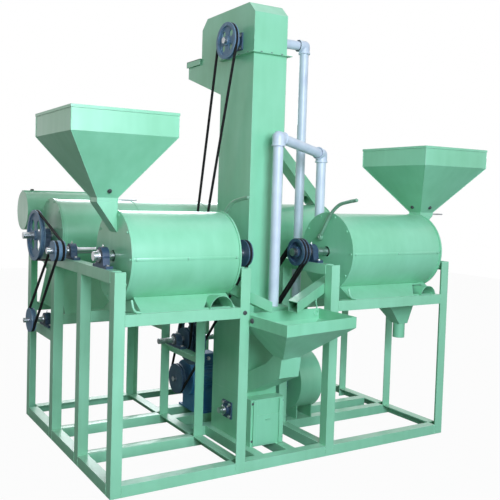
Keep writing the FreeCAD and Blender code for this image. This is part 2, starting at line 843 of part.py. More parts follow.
def build_hoppers():
    left_plate = left_drum_start - end_plate_wall
    right_plate = right_drum_start + right_drum_length + end_plate_wall
    left_middle = left_plate - neck_width / 2
    right_middle = right_plate + neck_width / 2
    save("left_hopper", hopper(left_middle, left_hopper_top, left_neck_bottom))
    save("right_hopper", hopper(right_middle, right_hopper_top, right_neck_bottom))
    save("left_feed_gate", feed_gate(left_middle, left_neck_bottom))
    save("right_feed_gate", feed_gate(right_middle, right_neck_bottom))
    save("feed_chutes", [feed_chute(left_plate, left_neck_bottom, -1),
                         feed_chute(right_plate, right_neck_bottom, 1)])


# Reel: closed shell with a slatted screen turning inside
def build_reel():
    shell = tube_x(reel_start, reel_end, reel_y, reel_z, reel_radius, reel_wall)
    window = box(reel_window_start, reel_window_end, reel_y - reel_window_half,
                 reel_y + reel_window_half, reel_z, reel_z + reel_radius + 1)
    shell = shell.cut(window)
    for start, end in ((reel_start, left_bay_length), (right_bay_start, reel_end)):
        drop_start = start + (end - start) * reel_drop_share
        drop = box(drop_start, drop_start + reel_drop_length, reel_y - reel_window_half,
                   reel_y + reel_window_half, reel_z - reel_radius - 1, reel_z)
        shell = shell.cut(drop)
    save("reel_shell", shell)
    plates = []
    for x in (reel_start - reel_plate_wall, reel_end):
        plate = rod_x(x, x + reel_plate_wall, reel_y, reel_z, reel_radius + end_plate_lip)
        hole = rod_x(x - 1, x + reel_plate_wall + 1, reel_y, reel_z,
                     reel_shaft_radius + end_plate_lip)
        plates.append(plate.cut(hole))
    save("reel_end_plates", plates)
    start = reel_start + screen_end_gap
    end = reel_end - screen_end_gap
    rings = []
    spacing = (end - start - screen_ring_width) / (screen_spider_count - 1)
    for i in range(screen_spider_count):
        x = start + i * spacing
        ring = tube_x(x, x + screen_ring_width, reel_y, reel_z, screen_radius - screen_wall,
                      screen_ring_depth)
        hub = tube_x(x, x + screen_ring_width, reel_y, reel_z,
                     reel_shaft_radius + pulley_bore_wall, pulley_bore_wall - shaft_clearance)
        arm_length = screen_radius - screen_wall - screen_ring_depth / 2
        arms = []
        for k in range(4):
            arm = box(x, x + screen_ring_width, reel_y - screen_arm_width / 2,
                      reel_y + screen_arm_width / 2, reel_z + reel_shaft_radius + 1,
                      reel_z + arm_length)
            arm.rotate(Vector(x, reel_y, reel_z), RIGHT, 45 + 90 * k)
            arms.append(arm)
        rings.append(join([ring, hub] + arms))
    slats = []
    for k in range(screen_slat_count):
        slat = box(start, end, reel_y - screen_slat_width / 2, reel_y + screen_slat_width / 2,
                   reel_z + screen_radius - screen_wall - 2, reel_z + screen_radius)
        slat.rotate(Vector(start, reel_y, reel_z), RIGHT, 360.0 * k / screen_slat_count)
        slats.append(slat)
    save("reel_screen", join(rings + slats))
    save("reel_shaft", rod_x(reel_shaft_start, reel_end + reel_shaft_past, reel_y, reel_z,
                             reel_shaft_radius))


# Closed cylinder at the rear with a flat flange strip along its top and a top bolt
def build_rear_cylinder():
    body = rod_x(rear_drum_start, rear_drum_end, rear_drum_y, rear_drum_z, rear_drum_radius)
    top = rear_drum_z + rear_drum_radius
    strip = box(rear_drum_start, rear_drum_end, rear_drum_y - rear_strip_width / 2,
                rear_drum_y + rear_strip_width / 2, top - rear_strip_wall, top + rear_strip_wall)
    stand_bottom = third_rail_top - angle_leg
    saddle = rod_x(rear_drum_start, rear_drum_end, rear_drum_y, rear_drum_z,
                   rear_drum_radius + touch_gap)
    stands = []
    for x in (0.0, rear_drum_end - 2 * angle_leg):
        stand = box(x, x + angle_leg, frame_depth, frame_depth + angle_wall, stand_bottom,
                    rear_drum_z)
        stands.append(stand.cut(saddle))
    save("rear_cylinder", [join([body, strip])] + stands)


leg_end_x = leg_start_x + leg_width


# Elevator casing: boot, leg and head are separate boxes bolted at their flanges
def boot_gate_window(grow, y_start, y_end):
    middle = leg_start_x + leg_width / 2
    return box(middle - cleanout_width / 2 - grow, middle + cleanout_width / 2 + grow,
               y_start, y_end, angle_leg + cleanout_rise - grow,
               angle_leg + cleanout_rise + cleanout_height + grow)


def build_boot():
    outline = [(boot_front_y, angle_leg), (leg_back_y, angle_leg), (leg_back_y, boot_top),
               (leg_front_y, boot_top), (boot_front_y, boot_top)]
    shaft_hole = rod_x(leg_start_x - 1, leg_end_x + 1, elevator_y, boot_shaft_z,
                       elevator_shaft_radius + end_plate_lip)
    window = boot_gate_window(0, boot_front_y - 1, boot_front_y + elevator_wall + 1)
    plates = sheet_box(outline, leg_start_x, leg_end_x, elevator_wall, [2])
    save("elevator_boot", [cut_all(plate, [shaft_hole, window]) for plate in plates])
    gap = touch_gap
    cover = boot_gate_window(cleanout_overlap, boot_front_y - gap - elevator_wall,
                             boot_front_y - gap)
    pull_z = angle_leg + cleanout_rise + cleanout_height - cleanout_overlap
    middle = leg_start_x + leg_width / 2
    pull = box(middle - cleanout_pull / 2, middle + cleanout_pull / 2,
               boot_front_y - gap - cleanout_pull / 2, boot_front_y - gap,
               pull_z, pull_z + elevator_wall)
    save("cleanout_gate", join([cover, pull]))


def build_leg():
    def outline(z, inside):
        inset = inside * elevator_wall
        return flat_rectangle(leg_start_x + inset, leg_end_x - inset, leg_front_y + inset,
                              leg_back_y - inset, z)
    window = box(inlet_left_x + inlet_wall, inlet_left_x + inlet_width - inlet_wall,
                 leg_front_y - 1, leg_front_y + elevator_wall + 1,
                 inlet_back_low + inlet_wall, inlet_back_high - inlet_wall)
    save("elevator_leg", [plate.cut(window) for plate in wall_plates(boot_top, head_bottom, outline)])


def head_outline():
    return [(leg_front_y, head_bottom), (leg_front_y, head_top - head_chamfer),
            (leg_front_y + head_chamfer, head_top), (head_back_y - head_chamfer, head_top),
            (head_back_y, head_top - head_chamfer), (head_back_y, spout_top),
            (spout_back_y, spout_top), (spout_back_y, spout_end_bottom),
            (leg_back_y, spout_floor_low), (leg_back_y, head_bottom)]


def build_head():
    plates = sheet_box(head_outline(), leg_start_x, leg_end_x, elevator_wall, [9])
    shaft_hole = rod_x(leg_start_x - 1, leg_end_x + 1, elevator_y, head_shaft_z,
                       elevator_shaft_radius + end_plate_lip)
    outlet = box(leg_end_x - elevator_wall - 1, leg_end_x + 1, chute_top_y + chute_wall,
                 chute_top_y + chute_width - chute_wall, chute_top_z - chute_height + chute_wall,
                 chute_top_z - chute_wall)
    air = rod_x(leg_end_x - elevator_wall - 1, leg_end_x + 1, back_pipe_y, back_pipe_top,
                pipe_radius - pipe_wall)
    shell = [cut_all(plate, [shaft_hole, outlet, air]) for plate in plates]
    flange_front = leg_front_y - flange_width
    flange_top = head_bottom + elevator_wall
    flange = [box(leg_start_x - flange_width, leg_start_x, flange_front, leg_back_y, head_bottom,
                  flange_top),
              box(leg_end_x, leg_end_x + flange_width, flange_front, leg_back_y, head_bottom,
                  flange_top),
              box(leg_start_x, leg_end_x, flange_front, leg_front_y, head_bottom, flange_top)]
    save("elevator_head", shell + flange)


# Bucket belt and its buckets on the head and boot drums
def build_elevator_works():
    middle = leg_start_x + leg_width / 2
    half = bucket_belt_width / 2
    for name, z, x_start in (("head_shaft", head_shaft_z, elevator_belt_x - head_pulley_past),
                             ("boot_shaft", boot_shaft_z, leg_start_x - elevator_shaft_past)):
        shaft = rod_x(x_start, leg_end_x + elevator_shaft_past, elevator_y, z,
                      elevator_shaft_radius)
        drum = rod_x(middle - half, middle + half, elevator_y, z, head_drum_radius)
        save(name, join([shaft, drum]))
    outer_radius = head_drum_radius + touch_gap + bucket_belt_wall
    inner_radius = head_drum_radius + touch_gap

    def loop(radius):
        wide = box(middle - half, middle + half, elevator_y - radius, elevator_y + radius,
                   boot_shaft_z, head_shaft_z)
        low = rod_x(middle - half, middle + half, elevator_y, boot_shaft_z, radius)
        high = rod_x(middle - half, middle + half, elevator_y, head_shaft_z, radius)
        return join([wide, low, high])
    save("bucket_belt", loop(outer_radius).cut(loop(inner_radius)))
    buckets = []
    count = int((head_shaft_z - boot_shaft_z) / bucket_pitch)
    start_z = (head_shaft_z + boot_shaft_z - (count - 1) * bucket_pitch) / 2
    for i in range(count):
        z = start_z + i * bucket_pitch
        for side in (-1, 1):
            buckets.append(bucket(middle, elevator_y + side * outer_radius, z, side))
    save("elevator_buckets", buckets)


# One bucket: back on the belt, slanting front, open at the side that scoops
def bucket(middle, back_y, z, side):
    half = bucket_width / 2
    lift = -side * bucket_height / 2
    outline = [(back_y, z + lift), (back_y, z - lift), (back_y + side * bucket_depth / 3, z - lift),
               (back_y + side * bucket_depth, z + lift * bucket_lip_share),
               (back_y + side * bucket_depth, z + lift)]
    return join(sheet_box(outline, middle - half, middle + half, bucket_wall, [4]))


# Slanted chute from the side of the spout down to the window in the reel
def build_reel_chute():
    def station(x, middle_y, top, height, inset):
        half = chute_width / 2 - inset
        return side_rectangle(x, middle_y - half, middle_y + half, top - height + inset, top - inset)
    start_y = chute_top_y + chute_width / 2
    end_height = chute_end_top - (reel_z + reel_radius) + 2 * chute_wall
    outer = flat_sided(station(leg_end_x, start_y, chute_top_z, chute_height, 0),
                       station(chute_end_x, reel_y, chute_end_top, end_height, 0))
    inner = flat_sided(station(leg_end_x, start_y, chute_top_z, chute_height, chute_wall),
                       station(chute_end_x, reel_y, chute_end_top, end_height, chute_wall))
    inner = inner.cut(box(chute_end_x - chute_wall, chute_end_x + 1, 0, 2 * reel_y, reel_z,
                          head_top))
    shell = rod_x(reel_start, reel_end, reel_y, reel_z, reel_radius + touch_gap)
    floor = box(reel_window_start, reel_window_end, reel_y - reel_window_half,
                reel_y + reel_window_half, reel_z, reel_z + reel_radius + 4 * chute_height)
    drop = floor.cut(box(reel_window_start - 1, reel_window_end + 1, 0, 2 * reel_y,
                         reel_z + reel_radius + chute_height, head_top))
    body = outer.cut(inner).cut(shell).cut(drop)
    save("reel_chute", body)


# Trough: a shallow band over an inverted pyramid that ends above the inlet chute
def build_trough():
    def outline(level, inside):
        x0, x1, front, back, z = level
        corners = [(x0, front), (x1, front + (x1 - x0) * trough_skew), (x1, back), (x0, back)]
        return [Vector(x, y, z) for x, y in inset_outline(corners, inside * trough_wall)]
    mouth = (left_bay_length, trough_right_x, trough_front_y, trough_back_y)
    throat = (inlet_left_x, inlet_left_x + inlet_width, trough_throat_front_y, inlet_throat_back,
              inlet_top)
    band_bottom = mouth + (trough_top - trough_band,)
    save("trough", wall_plates(mouth + (trough_top,), band_bottom, outline)
         + wall_plates(band_bottom, throat, outline))
    profile = [(inlet_front_y, inlet_top), (inlet_throat_back, inlet_top),
               (inlet_knee_y, inlet_knee_z), (leg_front_y, inlet_back_high),
               (leg_front_y, inlet_back_low), (inlet_front_y + inlet_toe, inlet_front_low)]
    save("trough_inlet_chute", sheet_box(profile, inlet_left_x, inlet_left_x + inlet_width,
                                         inlet_wall, [0, 3]))


# Plastic pipes: straight tubes between elbows, hollow all the way
def pipe_run(points):
    pieces = []
    bore = pipe_radius - pipe_wall
    ends = [0] + [elbow_length] * (len(points) - 2) + [0]
    for i, (start, end) in enumerate(zip(points, points[1:])):
        way = (end - start).normalize()
        first = start + way * ends[i]
        last = end - way * ends[i + 1]
        pieces.append(rod_between(first, last, pipe_radius).cut(rod_between(first, last, bore)))
    for before, bend, after in zip(points, points[1:], points[2:]):
        arms = [(end - bend).normalize() * elbow_length for end in (before, after)]
        outer = [rod_between(bend, bend + arm, elbow_radius) for arm in arms]
        inner = [rod_between(bend, bend + arm, bore) for arm in arms]
        ball = Part.makeSphere(elbow_radius, bend)
        pieces.append(cut_all(join(outer + [ball]), inner + [Part.makeSphere(bore, bend)]))
    return pieces


def build_pipes():
    blower_mouth = blower_z + blower_radius + blower_neck
    back_run = pipe_run([Vector(leg_end_x, back_pipe_y, back_pipe_top),
                         Vector(back_pipe_x, back_pipe_y, back_pipe_top),
                         Vector(back_pipe_x, back_pipe_y, blower_mouth)])
    reach = cross_pipe_end_y - drum_y
    drum_top = drum_z + math.sqrt(drum_radius ** 2 - (reach + pipe_radius) ** 2)
    low_end = Vector(cross_pipe_end_x, cross_pipe_end_y, drum_top - pipe_radius)
    run = pipe_run([Vector(front_pipe_x, front_pipe_y, front_pipe_bottom),
                    Vector(front_pipe_x, front_pipe_y, front_pipe_top),
                    Vector(cross_pipe_end_x, cross_pipe_end_y, cross_pipe_end_z), low_end])
    shell = rod_x(right_drum_start, right_drum_start + right_drum_length, drum_y, drum_z,
                  drum_radius + touch_gap)
    save("air_pipes", back_run + [piece.cut(shell) for piece in run])
    box_half = inlet_width / 2
    low = front_pipe_bottom - air_box_height
    outline = [(front_pipe_y - box_half, low), (leg_front_y, low), (leg_front_y, front_pipe_bottom),
               (front_pipe_y - box_half, front_pipe_bottom)]
    plates = sheet_box(outline, front_pipe_x - box_half, front_pipe_x + box_half, inlet_wall, [0])
    hole = Part.makeCylinder(pipe_radius - pipe_wall, 2 * inlet_wall,
                             Vector(front_pipe_x, front_pipe_y, front_pipe_bottom - inlet_wall - 1))
    save("air_box", [plate.cut(hole) for plate in plates])


# Blower: round casing with an upward neck, an open inlet ring and two saddle plates
def build_blower():
    end = blower_x + blower_width
    neck_top = blower_z + blower_radius + blower_neck
    middle = blower_x + blower_width / 2
    half = blower_neck_half

    def form(inset):
        drum = rod_x(blower_x + inset, end - inset, blower_y, blower_z, blower_radius - inset)
        top = neck_top - (inset if inset > 0 else 0)
        neck = box(middle - half + inset, middle + half - inset, blower_y - half + inset,
                   blower_y + half - inset, blower_z, top)
        return join([drum, neck])
    inlet = tube_x(end, end + blower_inlet_length, blower_y, blower_z,
                   blower_inlet_radius + blower_wall, blower_wall)
    holes = [form(blower_wall),
             rod_x(end - 2 * blower_wall, end + 1, blower_y, blower_z, blower_inlet_radius),
             rod_x(blower_x - 1, blower_x + 2 * blower_wall, blower_y, blower_z,
                   blower_shaft_radius + end_plate_lip),
             Part.makeCylinder(pipe_radius - pipe_wall, 4 * blower_wall,
                               Vector(back_pipe_x, back_pipe_y, neck_top - 2 * blower_wall))]
    side = rod_x(end - blower_wall, end, blower_y, blower_z, blower_radius)
    casing = cut_all(form(0), holes).cut(side)
    side = join([side.cut(holes[1]), inlet])
    saddles = []
    for x in (blower_x + blower_stand_inset, end - blower_stand_inset - blower_stand_wall):
        plate = box(x, x + blower_stand_wall, blower_y - blower_stand_reach,
                    blower_y + blower_stand_reach, angle_leg, blower_z)
        saddles.append(plate.cut(rod_x(x - 1, x + blower_stand_wall + 1, blower_y, blower_z,
                                       blower_radius + touch_gap)))
    save("blower_casing", [casing, side] + saddles)
    shaft = rod_x(blower_belt_x - belt_width, end - 4 * blower_wall, blower_y, blower_z,
                  blower_shaft_radius)
    hub_start = blower_x + 4 * blower_wall
    hub = rod_x(hub_start, end - 8 * blower_wall, blower_y, blower_z, fan_hub_radius)
    back = rod_x(hub_start, hub_start + fan_blade_wall, blower_y, blower_z, fan_radius)
    blades = []
    for k in range(fan_blade_count):
        blade = box(hub_start, end - 8 * blower_wall, blower_y - fan_blade_wall / 2,
                    blower_y + fan_blade_wall / 2, blower_z + fan_hub_radius / 2,
                    blower_z + fan_radius)
        blade.rotate(Vector(0, blower_y, blower_z), RIGHT, 360.0 * k / fan_blade_count)
        blades.append(blade)
    save("blower_fan", join([shaft, hub, back] + blades))


# V-belt pulley: one groove for each belt plane, bored for its shaft
def pulley(belt_xs, radius, y, z, shaft_radius, spoked):
    top = radius + belt_height / 2
    bottom = radius - belt_height / 2 - touch_gap
    half_top = belt_width / 2 + touch_gap
    half_bottom = belt_width / 2 - belt_taper + touch_gap
    start = belt_xs[0] - half_top - pulley_cheek
    end = belt_xs[-1] + half_top + pulley_cheek
    bore = shaft_radius + shaft_clearance
    points = [(start, bore), (start, top)]
    for x in belt_xs:
        points += [(x - half_top, top), (x - half_bottom, bottom), (x + half_bottom, bottom),
                   (x + half_top, top)]
    points += [(end, top), (end, bore)]
    wire = Part.makePolygon([Vector(x, y, z + r) for x, r in points + points[:1]])
    body = Part.Face(wire).revolve(Vector(0, y, z), RIGHT, 360)
    if not spoked:
        return body
    inner = bottom - pulley_rim_wall
    hub = shaft_radius + pulley_bore_wall
    web_start = (start + end - pulley_web_wall) / 2
    for x0, x1 in ((start - 1, web_start), (web_start + pulley_web_wall, end + 1)):
        body = body.cut(tube_x(x0, x1, y, z, inner, inner - hub))
    hole_radius = (inner - hub) * spoke_hole_share
    for k in range(spoke_count):
        angle = math.radians(45 + 360.0 * k / spoke_count)
        reach = (inner + hub) / 2
        body = body.cut(rod_x(start - 1, end + 1, y + reach * math.cos(angle),
                              z + reach * math.sin(angle), hole_radius))
    return body


# V-belt loop around two pulleys: two straight runs and two arcs of the same section
def belt(x, first, second):
    y1, z1, r1 = first
    y2, z2, r2 = second
    way = math.atan2(z2 - z1, y2 - y1)
    lean = math.acos((r1 - r2) / math.hypot(y2 - y1, z2 - z1))

    def section(y, z, radius, angle):
        out = Vector(0, math.cos(angle), math.sin(angle))
        middle = Vector(x, y, z) + out * radius
        wide = belt_width / 2
        narrow = wide - belt_taper
        top = out * (belt_height / 2)
        corners = [middle + top - RIGHT * wide, middle + top + RIGHT * wide,
                   middle - top + RIGHT * narrow, middle - top - RIGHT * narrow]
        return Part.Face(Part.makePolygon(corners + corners[:1])), middle
    pieces = []
    for side in (-1, 1):
        face, start = section(y1, z1, r1, way + side * lean)
        _, end = section(y2, z2, r2, way + side * lean)
        pieces.append(face.extrude(end - start))
    face, _ = section(y1, z1, r1, way + lean)
    pieces.append(face.revolve(Vector(0, y1, z1), RIGHT, math.degrees(2 * (math.pi - lean))))
    face, _ = section(y2, z2, r2, way - lean)
    pieces.append(face.revolve(Vector(0, y2, z2), RIGHT, math.degrees(2 * lean)))
    return join(pieces)


left_drum_axis = (drum_y, drum_z)
line_axis = (line_shaft_y, line_shaft_z)
counter_axis = (counter_y, counter_z)
lower_axis = (lower_shaft_y, lower_shaft_z)
reel_axis = (reel_y, reel_z)
head_axis = (elevator_y, head_shaft_z)
boot_axis = (elevator_y, boot_shaft_z)
motor_axis = (motor_y, motor_z)
blower_axis = (blower_y, blower_z)


def build_drives():
    def place(belt_xs, radius, axis, shaft_radius, spoked=False):
        return pulley(belt_xs, radius, axis[0], axis[1], shaft_radius, spoked)

    def run(x, axis_a, radius_a, axis_b, radius_b):
        return belt(x, axis_a + (radius_a,), axis_b + (radius_b,))
    save("left_drum_pulley", place([left_drum_belt_x], left_drum_pulley_radius, left_drum_axis,
                                   drum_shaft_radius))
    save("right_drum_pulley", place(right_drum_belt_xs, right_drum_pulley_radius,
                                    left_drum_axis, drum_shaft_radius, True))
    save("reel_pulley", place([inner_belt_x], reel_pulley_radius, reel_axis, reel_shaft_radius,
                              True))
    save("head_pulley", place([elevator_belt_x], head_pulley_radius, head_axis,
                              elevator_shaft_radius, True))
    save("line_shaft_pulleys", [
        place([outer_belt_x, inner_belt_x], small_pulley_radius, line_axis, line_shaft_radius),
        place([line_belt_x], line_driven_radius, line_axis, line_shaft_radius),
        place([elevator_belt_x], line_drive_radius, line_axis, line_shaft_radius)])
    save("counter_shaft_pulleys", [
        place([line_belt_x], counter_small_radius, counter_axis, counter_radius),
        place([motor_belt_x], counter_big_radius, counter_axis, counter_radius, True),
        place([left_drum_belt_x], counter_left_radius, counter_axis, counter_radius),
        place(right_drum_belt_xs, counter_right_radius, counter_axis, counter_radius)])
    save("lower_shaft_pulleys", [
        place([outer_belt_x], lower_pulley_radius, lower_axis, lower_shaft_radius),
        place([blower_belt_x], lower_blower_radius, lower_axis, lower_shaft_radius)])
    save("motor_pulley", place([motor_belt_x], motor_pulley_radius, motor_axis,
                               motor_shaft_radius))
    save("blower_pulley", place([blower_belt_x], blower_pulley_radius, blower_axis,
                                blower_shaft_radius))
    save("line_shaft", rod_x(line_shaft_start, line_shaft_end, line_shaft_y, line_shaft_z,
                             line_shaft_radius))
    save("counter_shaft", rod_x(counter_start, counter_end, counter_y, counter_z,
                                counter_radius))
    save("lower_shaft", rod_x(lower_shaft_start, lower_shaft_end, lower_shaft_y, lower_shaft_z,
                              lower_shaft_radius))
    save("drive_belts", [
        run(motor_belt_x, motor_axis, motor_pulley_radius, counter_axis, counter_big_radius),
        run(left_drum_belt_x, counter_axis, counter_left_radius, left_drum_axis,
            left_drum_pulley_radius),
        run(line_belt_x, counter_axis, counter_small_radius, line_axis, line_driven_radius),
        run(elevator_belt_x, line_axis, line_drive_radius, head_axis, head_pulley_radius),
        run(inner_belt_x, line_axis, small_pulley_radius, reel_axis, reel_pulley_radius),
        run(outer_belt_x, line_axis, small_pulley_radius, lower_axis, lower_pulley_radius),
        run(blower_belt_x, lower_axis, lower_blower_radius, blower_axis, blower_pulley_radius)]
        + [run(x, counter_axis, counter_right_radius, left_drum_axis, right_drum_pulley_radius)
           for x in right_drum_belt_xs])


# Motor: finned body with end shields, feet on the floor rails and a terminal box
def build_motor():
    end = motor_start + motor_length
    body = rod_x(motor_start, end, motor_y, motor_z, motor_body_radius)
    fins = []
    fin_top = motor_body_radius + motor_fin_height
    for k in range(motor_fin_count):
        fin = box(motor_start + motor_shield_width, end - 2 * motor_shield_width,
                  motor_y - motor_fin_wall / 2, motor_y + motor_fin_wall / 2,
                  motor_z + motor_body_radius - motor_fin_height, motor_z + fin_top)
        fin.rotate(Vector(0, motor_y, motor_z), RIGHT, 360.0 * k / motor_fin_count)
        fins.append(fin)
    shield = rod_x(motor_start, motor_start + motor_shield_width, motor_y, motor_z, fin_top)
    cowl = rod_x(end - 2 * motor_shield_width, end, motor_y, motor_z, fin_top)
    foot_start = motor_start + motor_shield_width
    foot_end = end - 2 * motor_shield_width
    foot = box(foot_start, foot_end, motor_y - motor_foot_reach, motor_y + motor_foot_reach,
               angle_leg, angle_leg + motor_foot_wall)
    web_half = motor_body_radius * motor_web_share
    web = box(foot_start, foot_end, motor_y - web_half, motor_y + web_half, angle_leg, motor_z)
    middle = (foot_start + foot_end) / 2
    terminal = box(middle - motor_box_size / 2, middle + motor_box_size / 2,
                   motor_y - motor_box_size / 2, motor_y + motor_box_size / 2, motor_z,
                   motor_z + fin_top + motor_box_size / 3)
    bore = rod_x(motor_start - 1, end - motor_shield_width, motor_y, motor_z,
                 motor_shaft_radius + shaft_clearance)
    save("motor_body", join([body, shield, cowl, foot, web, terminal] + fins).cut(bore))
    save("motor_shaft", rod_x(motor_start - motor_shaft_reach, end - motor_shield_width - 1,
                              motor_y, motor_z, motor_shaft_radius))


# Pillow block: foot, tapering web and ring round the shaft
def pillow_block(x, axis, seat, shaft_radius):
    y, z = axis
    ring_radius = shaft_radius + bearing_ring_wall
    half = bearing_width / 2
    foot = box(x - half, x + half, y - bearing_foot_length / 2, y + bearing_foot_length / 2,
               seat, seat + bearing_foot_wall)
    ring = rod_x(x - half, x + half, y, z, ring_radius)
    low = ring_radius * bearing_web_foot_share
    high = ring_radius * bearing_web_top_share
    web = profile_x([(y - low, seat), (y + low, seat), (y + high, z), (y - high, z)],
                    x - half, x + half)
    bore = rod_x(x - half - 1, x + half + 1, y, z, shaft_radius + shaft_clearance)
    under = box(x - half - 1, x + half + 1, y - bearing_foot_length, y + bearing_foot_length,
                seat - 2 * ring_radius, seat)
    return join([foot, ring, web]).cut(bore).cut(under)


# Flange bearing on an upright face: square plate and boss
def flange_bearing(face_x, side, axis, shaft_radius):
    y, z = axis
    half = flange_bearing_half
    xs = sorted((face_x, face_x + side * flange_bearing_wall))
    plate = box(xs[0], xs[1], y - half, y + half, z - half, z + half)
    boss_xs = sorted((face_x, face_x + side * (flange_bearing_wall + flange_bearing_boss)))
    boss = rod_x(boss_xs[0], boss_xs[1], y, z, shaft_radius + bearing_ring_wall / 2)
    bore = rod_x(boss_xs[0] - 1, boss_xs[1] + 1, y, z, shaft_radius + shaft_clearance)
    return join([plate, boss]).cut(bore)


def build_bearings():
    half_leg = angle_leg / 2
    side_xs = (half_leg, left_bay_length - half_leg)
    right_xs = (right_bay_start + half_leg, frame_length - half_leg)
    counter_seat = counter_z - low_block_height
    lower_seat = lower_shaft_z - low_block_height
    blocks = []
    for x in side_xs + right_xs:
        blocks.append(pillow_block(x, left_drum_axis, post_height, drum_shaft_radius))
    for x in side_xs:
        blocks.append(pillow_block(x, line_axis, post_height, line_shaft_radius))
    for x in (side_xs[0], right_xs[1]):
        blocks.append(pillow_block(x, reel_axis, post_height, reel_shaft_radius))
    for x in (side_xs[1], right_xs[0]):
        blocks.append(pillow_block(x, counter_axis, counter_seat, counter_radius))
    for x in side_xs + right_xs[:1]:
        blocks.append(pillow_block(x, lower_axis, lower_seat, lower_shaft_radius))
    for axis in (head_axis, boot_axis):
        blocks.append(flange_bearing(leg_start_x, -1, axis, elevator_shaft_radius))
        blocks.append(flange_bearing(leg_end_x, 1, axis, elevator_shaft_radius))
    blocks.append(flange_bearing(blower_x, -1, blower_axis, blower_shaft_radius))
    save("shaft_bearings", blocks)


# Husk funnel: square mouth under the right tray, round tube below
def build_funnel():
    def outline(level, inside):
        x0, x1, half_y, z = level
        inset = inside * funnel_wall
        return flat_rectangle(x0 + inset, x1 - inset, drum_y - half_y + inset,
                              drum_y + half_y - inset, z)
    mouth = (funnel_left_x, funnel_right_x, funnel_half_y, funnel_top)
    neck = (funnel_tube_x - funnel_tube_radius, funnel_tube_x + funnel_tube_radius,
            funnel_tube_radius, funnel_neck_z)
    over_tray = [(second_row_y + angle_leg, drum_z), (tray_front_inset, drum_z)]
    above = profile_x(front_tray_front + front_tray_back[::-1] + over_tray,
                      funnel_left_x - angle_leg, frame_length)
    plates = [plate.cut(above) for plate in wall_plates(mouth, neck, outline)]
    ring = box(neck[0], neck[1], drum_y - funnel_tube_radius, drum_y + funnel_tube_radius,
               funnel_neck_z - funnel_wall, funnel_neck_z)
    low_end = Vector(funnel_tube_x, drum_y, funnel_tube_bottom)
    ring_end = Vector(funnel_tube_x, drum_y, funnel_neck_z - funnel_wall)
    bore = rod_between(low_end - UP, ring_end + UP * 2 * funnel_wall,
                       funnel_tube_radius - funnel_wall)
    tube = rod_between(low_end, ring_end, funnel_tube_radius)
    save("husk_funnel", plates + [join([ring, tube]).cut(bore)])


# Hexagon bolt head standing on a face
def bolt_head(place, way):
    corners = []
    side = way.cross(UP if abs(way.z) < 0.5 else RIGHT)
    for k in range(6):
        turn = FreeCAD.Rotation(way, 60.0 * k)
        corners.append(place + turn.multVec(side) * bolt_head_radius)
    return Part.Face(Part.makePolygon(corners + corners[:1])).extrude(way * bolt_head_height)


def build_fasteners():
    half_leg = angle_leg / 2
    left_x = half_leg
    mid_left_x = left_bay_length - half_leg
    mid_right_x = right_bay_start + half_leg
    right_x = frame_length - half_leg
    counter_seat = counter_z - low_block_height
    lower_seat = lower_shaft_z - low_block_height
    feet = [(x, drum_y, post_height) for x in (left_x, mid_left_x, mid_right_x, right_x)]
    feet += [(x, line_shaft_y, post_height) for x in (left_x, mid_left_x)]
    feet += [(x, reel_y, post_height) for x in (left_x, right_x)]
    feet += [(x, counter_y, counter_seat) for x in (mid_left_x, mid_right_x)]
    feet += [(x, lower_shaft_y, lower_seat) for x in (left_x, mid_left_x, mid_right_x)]
    reach = bearing_foot_length / 2 - 1.5 * bolt_head_radius
    bolts = []
    for x, y, seat in feet:
        for side in (-1, 1):
            bolts.append(bolt_head(Vector(x, y + side * reach, seat + bearing_foot_wall), UP))
    flanges = [(leg_start_x, -1, head_axis), (leg_end_x, 1, head_axis),
               (leg_start_x, -1, boot_axis), (leg_end_x, 1, boot_axis),
               (blower_x, -1, blower_axis)]
    corner = flange_bearing_half - 1.3 * bolt_head_radius
    for face_x, side, axis in flanges:
        way = RIGHT * side
        for dy in (-corner, corner):
            for dz in (-corner, corner):
                bolts.append(bolt_head(Vector(face_x + side * flange_bearing_wall, axis[0] + dy,
                                              axis[1] + dz), way))
    foot_start = motor_start + motor_shield_width
    foot_end = motor_start + motor_length - 2 * motor_shield_width
    for x in (foot_start + 2 * bolt_head_radius, foot_end - 2 * bolt_head_radius):
        for side in (-1, 1):
            bolts.append(bolt_head(Vector(x, motor_y + side * (motor_foot_reach - half_leg),
                                          angle_leg + motor_foot_wall), UP))
    save("fasteners", bolts)


build_frame()
build_trays()
build_funnel()
build_drums()
build_outlet_ducts()
build_levers()
build_hoppers()
build_reel()
build_rear_cylinder()
build_boot()
build_leg()
build_head()
build_elevator_works()
build_reel_chute()
build_trough()
build_pipes()
build_blower()
build_drives()
build_motor()
build_bearings()
build_fasteners()
write_pieces()
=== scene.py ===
import json
import math

import bmesh
import bpy
from mathutils import Matrix, Vector


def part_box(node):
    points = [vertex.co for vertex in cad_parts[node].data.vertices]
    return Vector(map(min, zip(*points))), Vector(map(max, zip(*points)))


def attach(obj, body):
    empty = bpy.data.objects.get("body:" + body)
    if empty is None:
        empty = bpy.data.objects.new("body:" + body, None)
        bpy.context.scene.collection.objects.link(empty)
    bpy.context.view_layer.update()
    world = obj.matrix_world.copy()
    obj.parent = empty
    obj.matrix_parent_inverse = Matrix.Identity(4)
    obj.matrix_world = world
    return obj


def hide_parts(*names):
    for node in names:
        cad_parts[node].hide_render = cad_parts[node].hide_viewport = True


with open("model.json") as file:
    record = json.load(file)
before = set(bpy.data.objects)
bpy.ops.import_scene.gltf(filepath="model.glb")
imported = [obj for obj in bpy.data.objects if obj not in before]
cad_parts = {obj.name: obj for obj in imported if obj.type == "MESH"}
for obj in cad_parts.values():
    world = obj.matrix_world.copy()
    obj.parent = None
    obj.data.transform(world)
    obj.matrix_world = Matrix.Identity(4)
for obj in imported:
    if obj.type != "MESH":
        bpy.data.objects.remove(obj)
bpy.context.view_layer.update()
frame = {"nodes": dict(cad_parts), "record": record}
nodes = frame["nodes"]
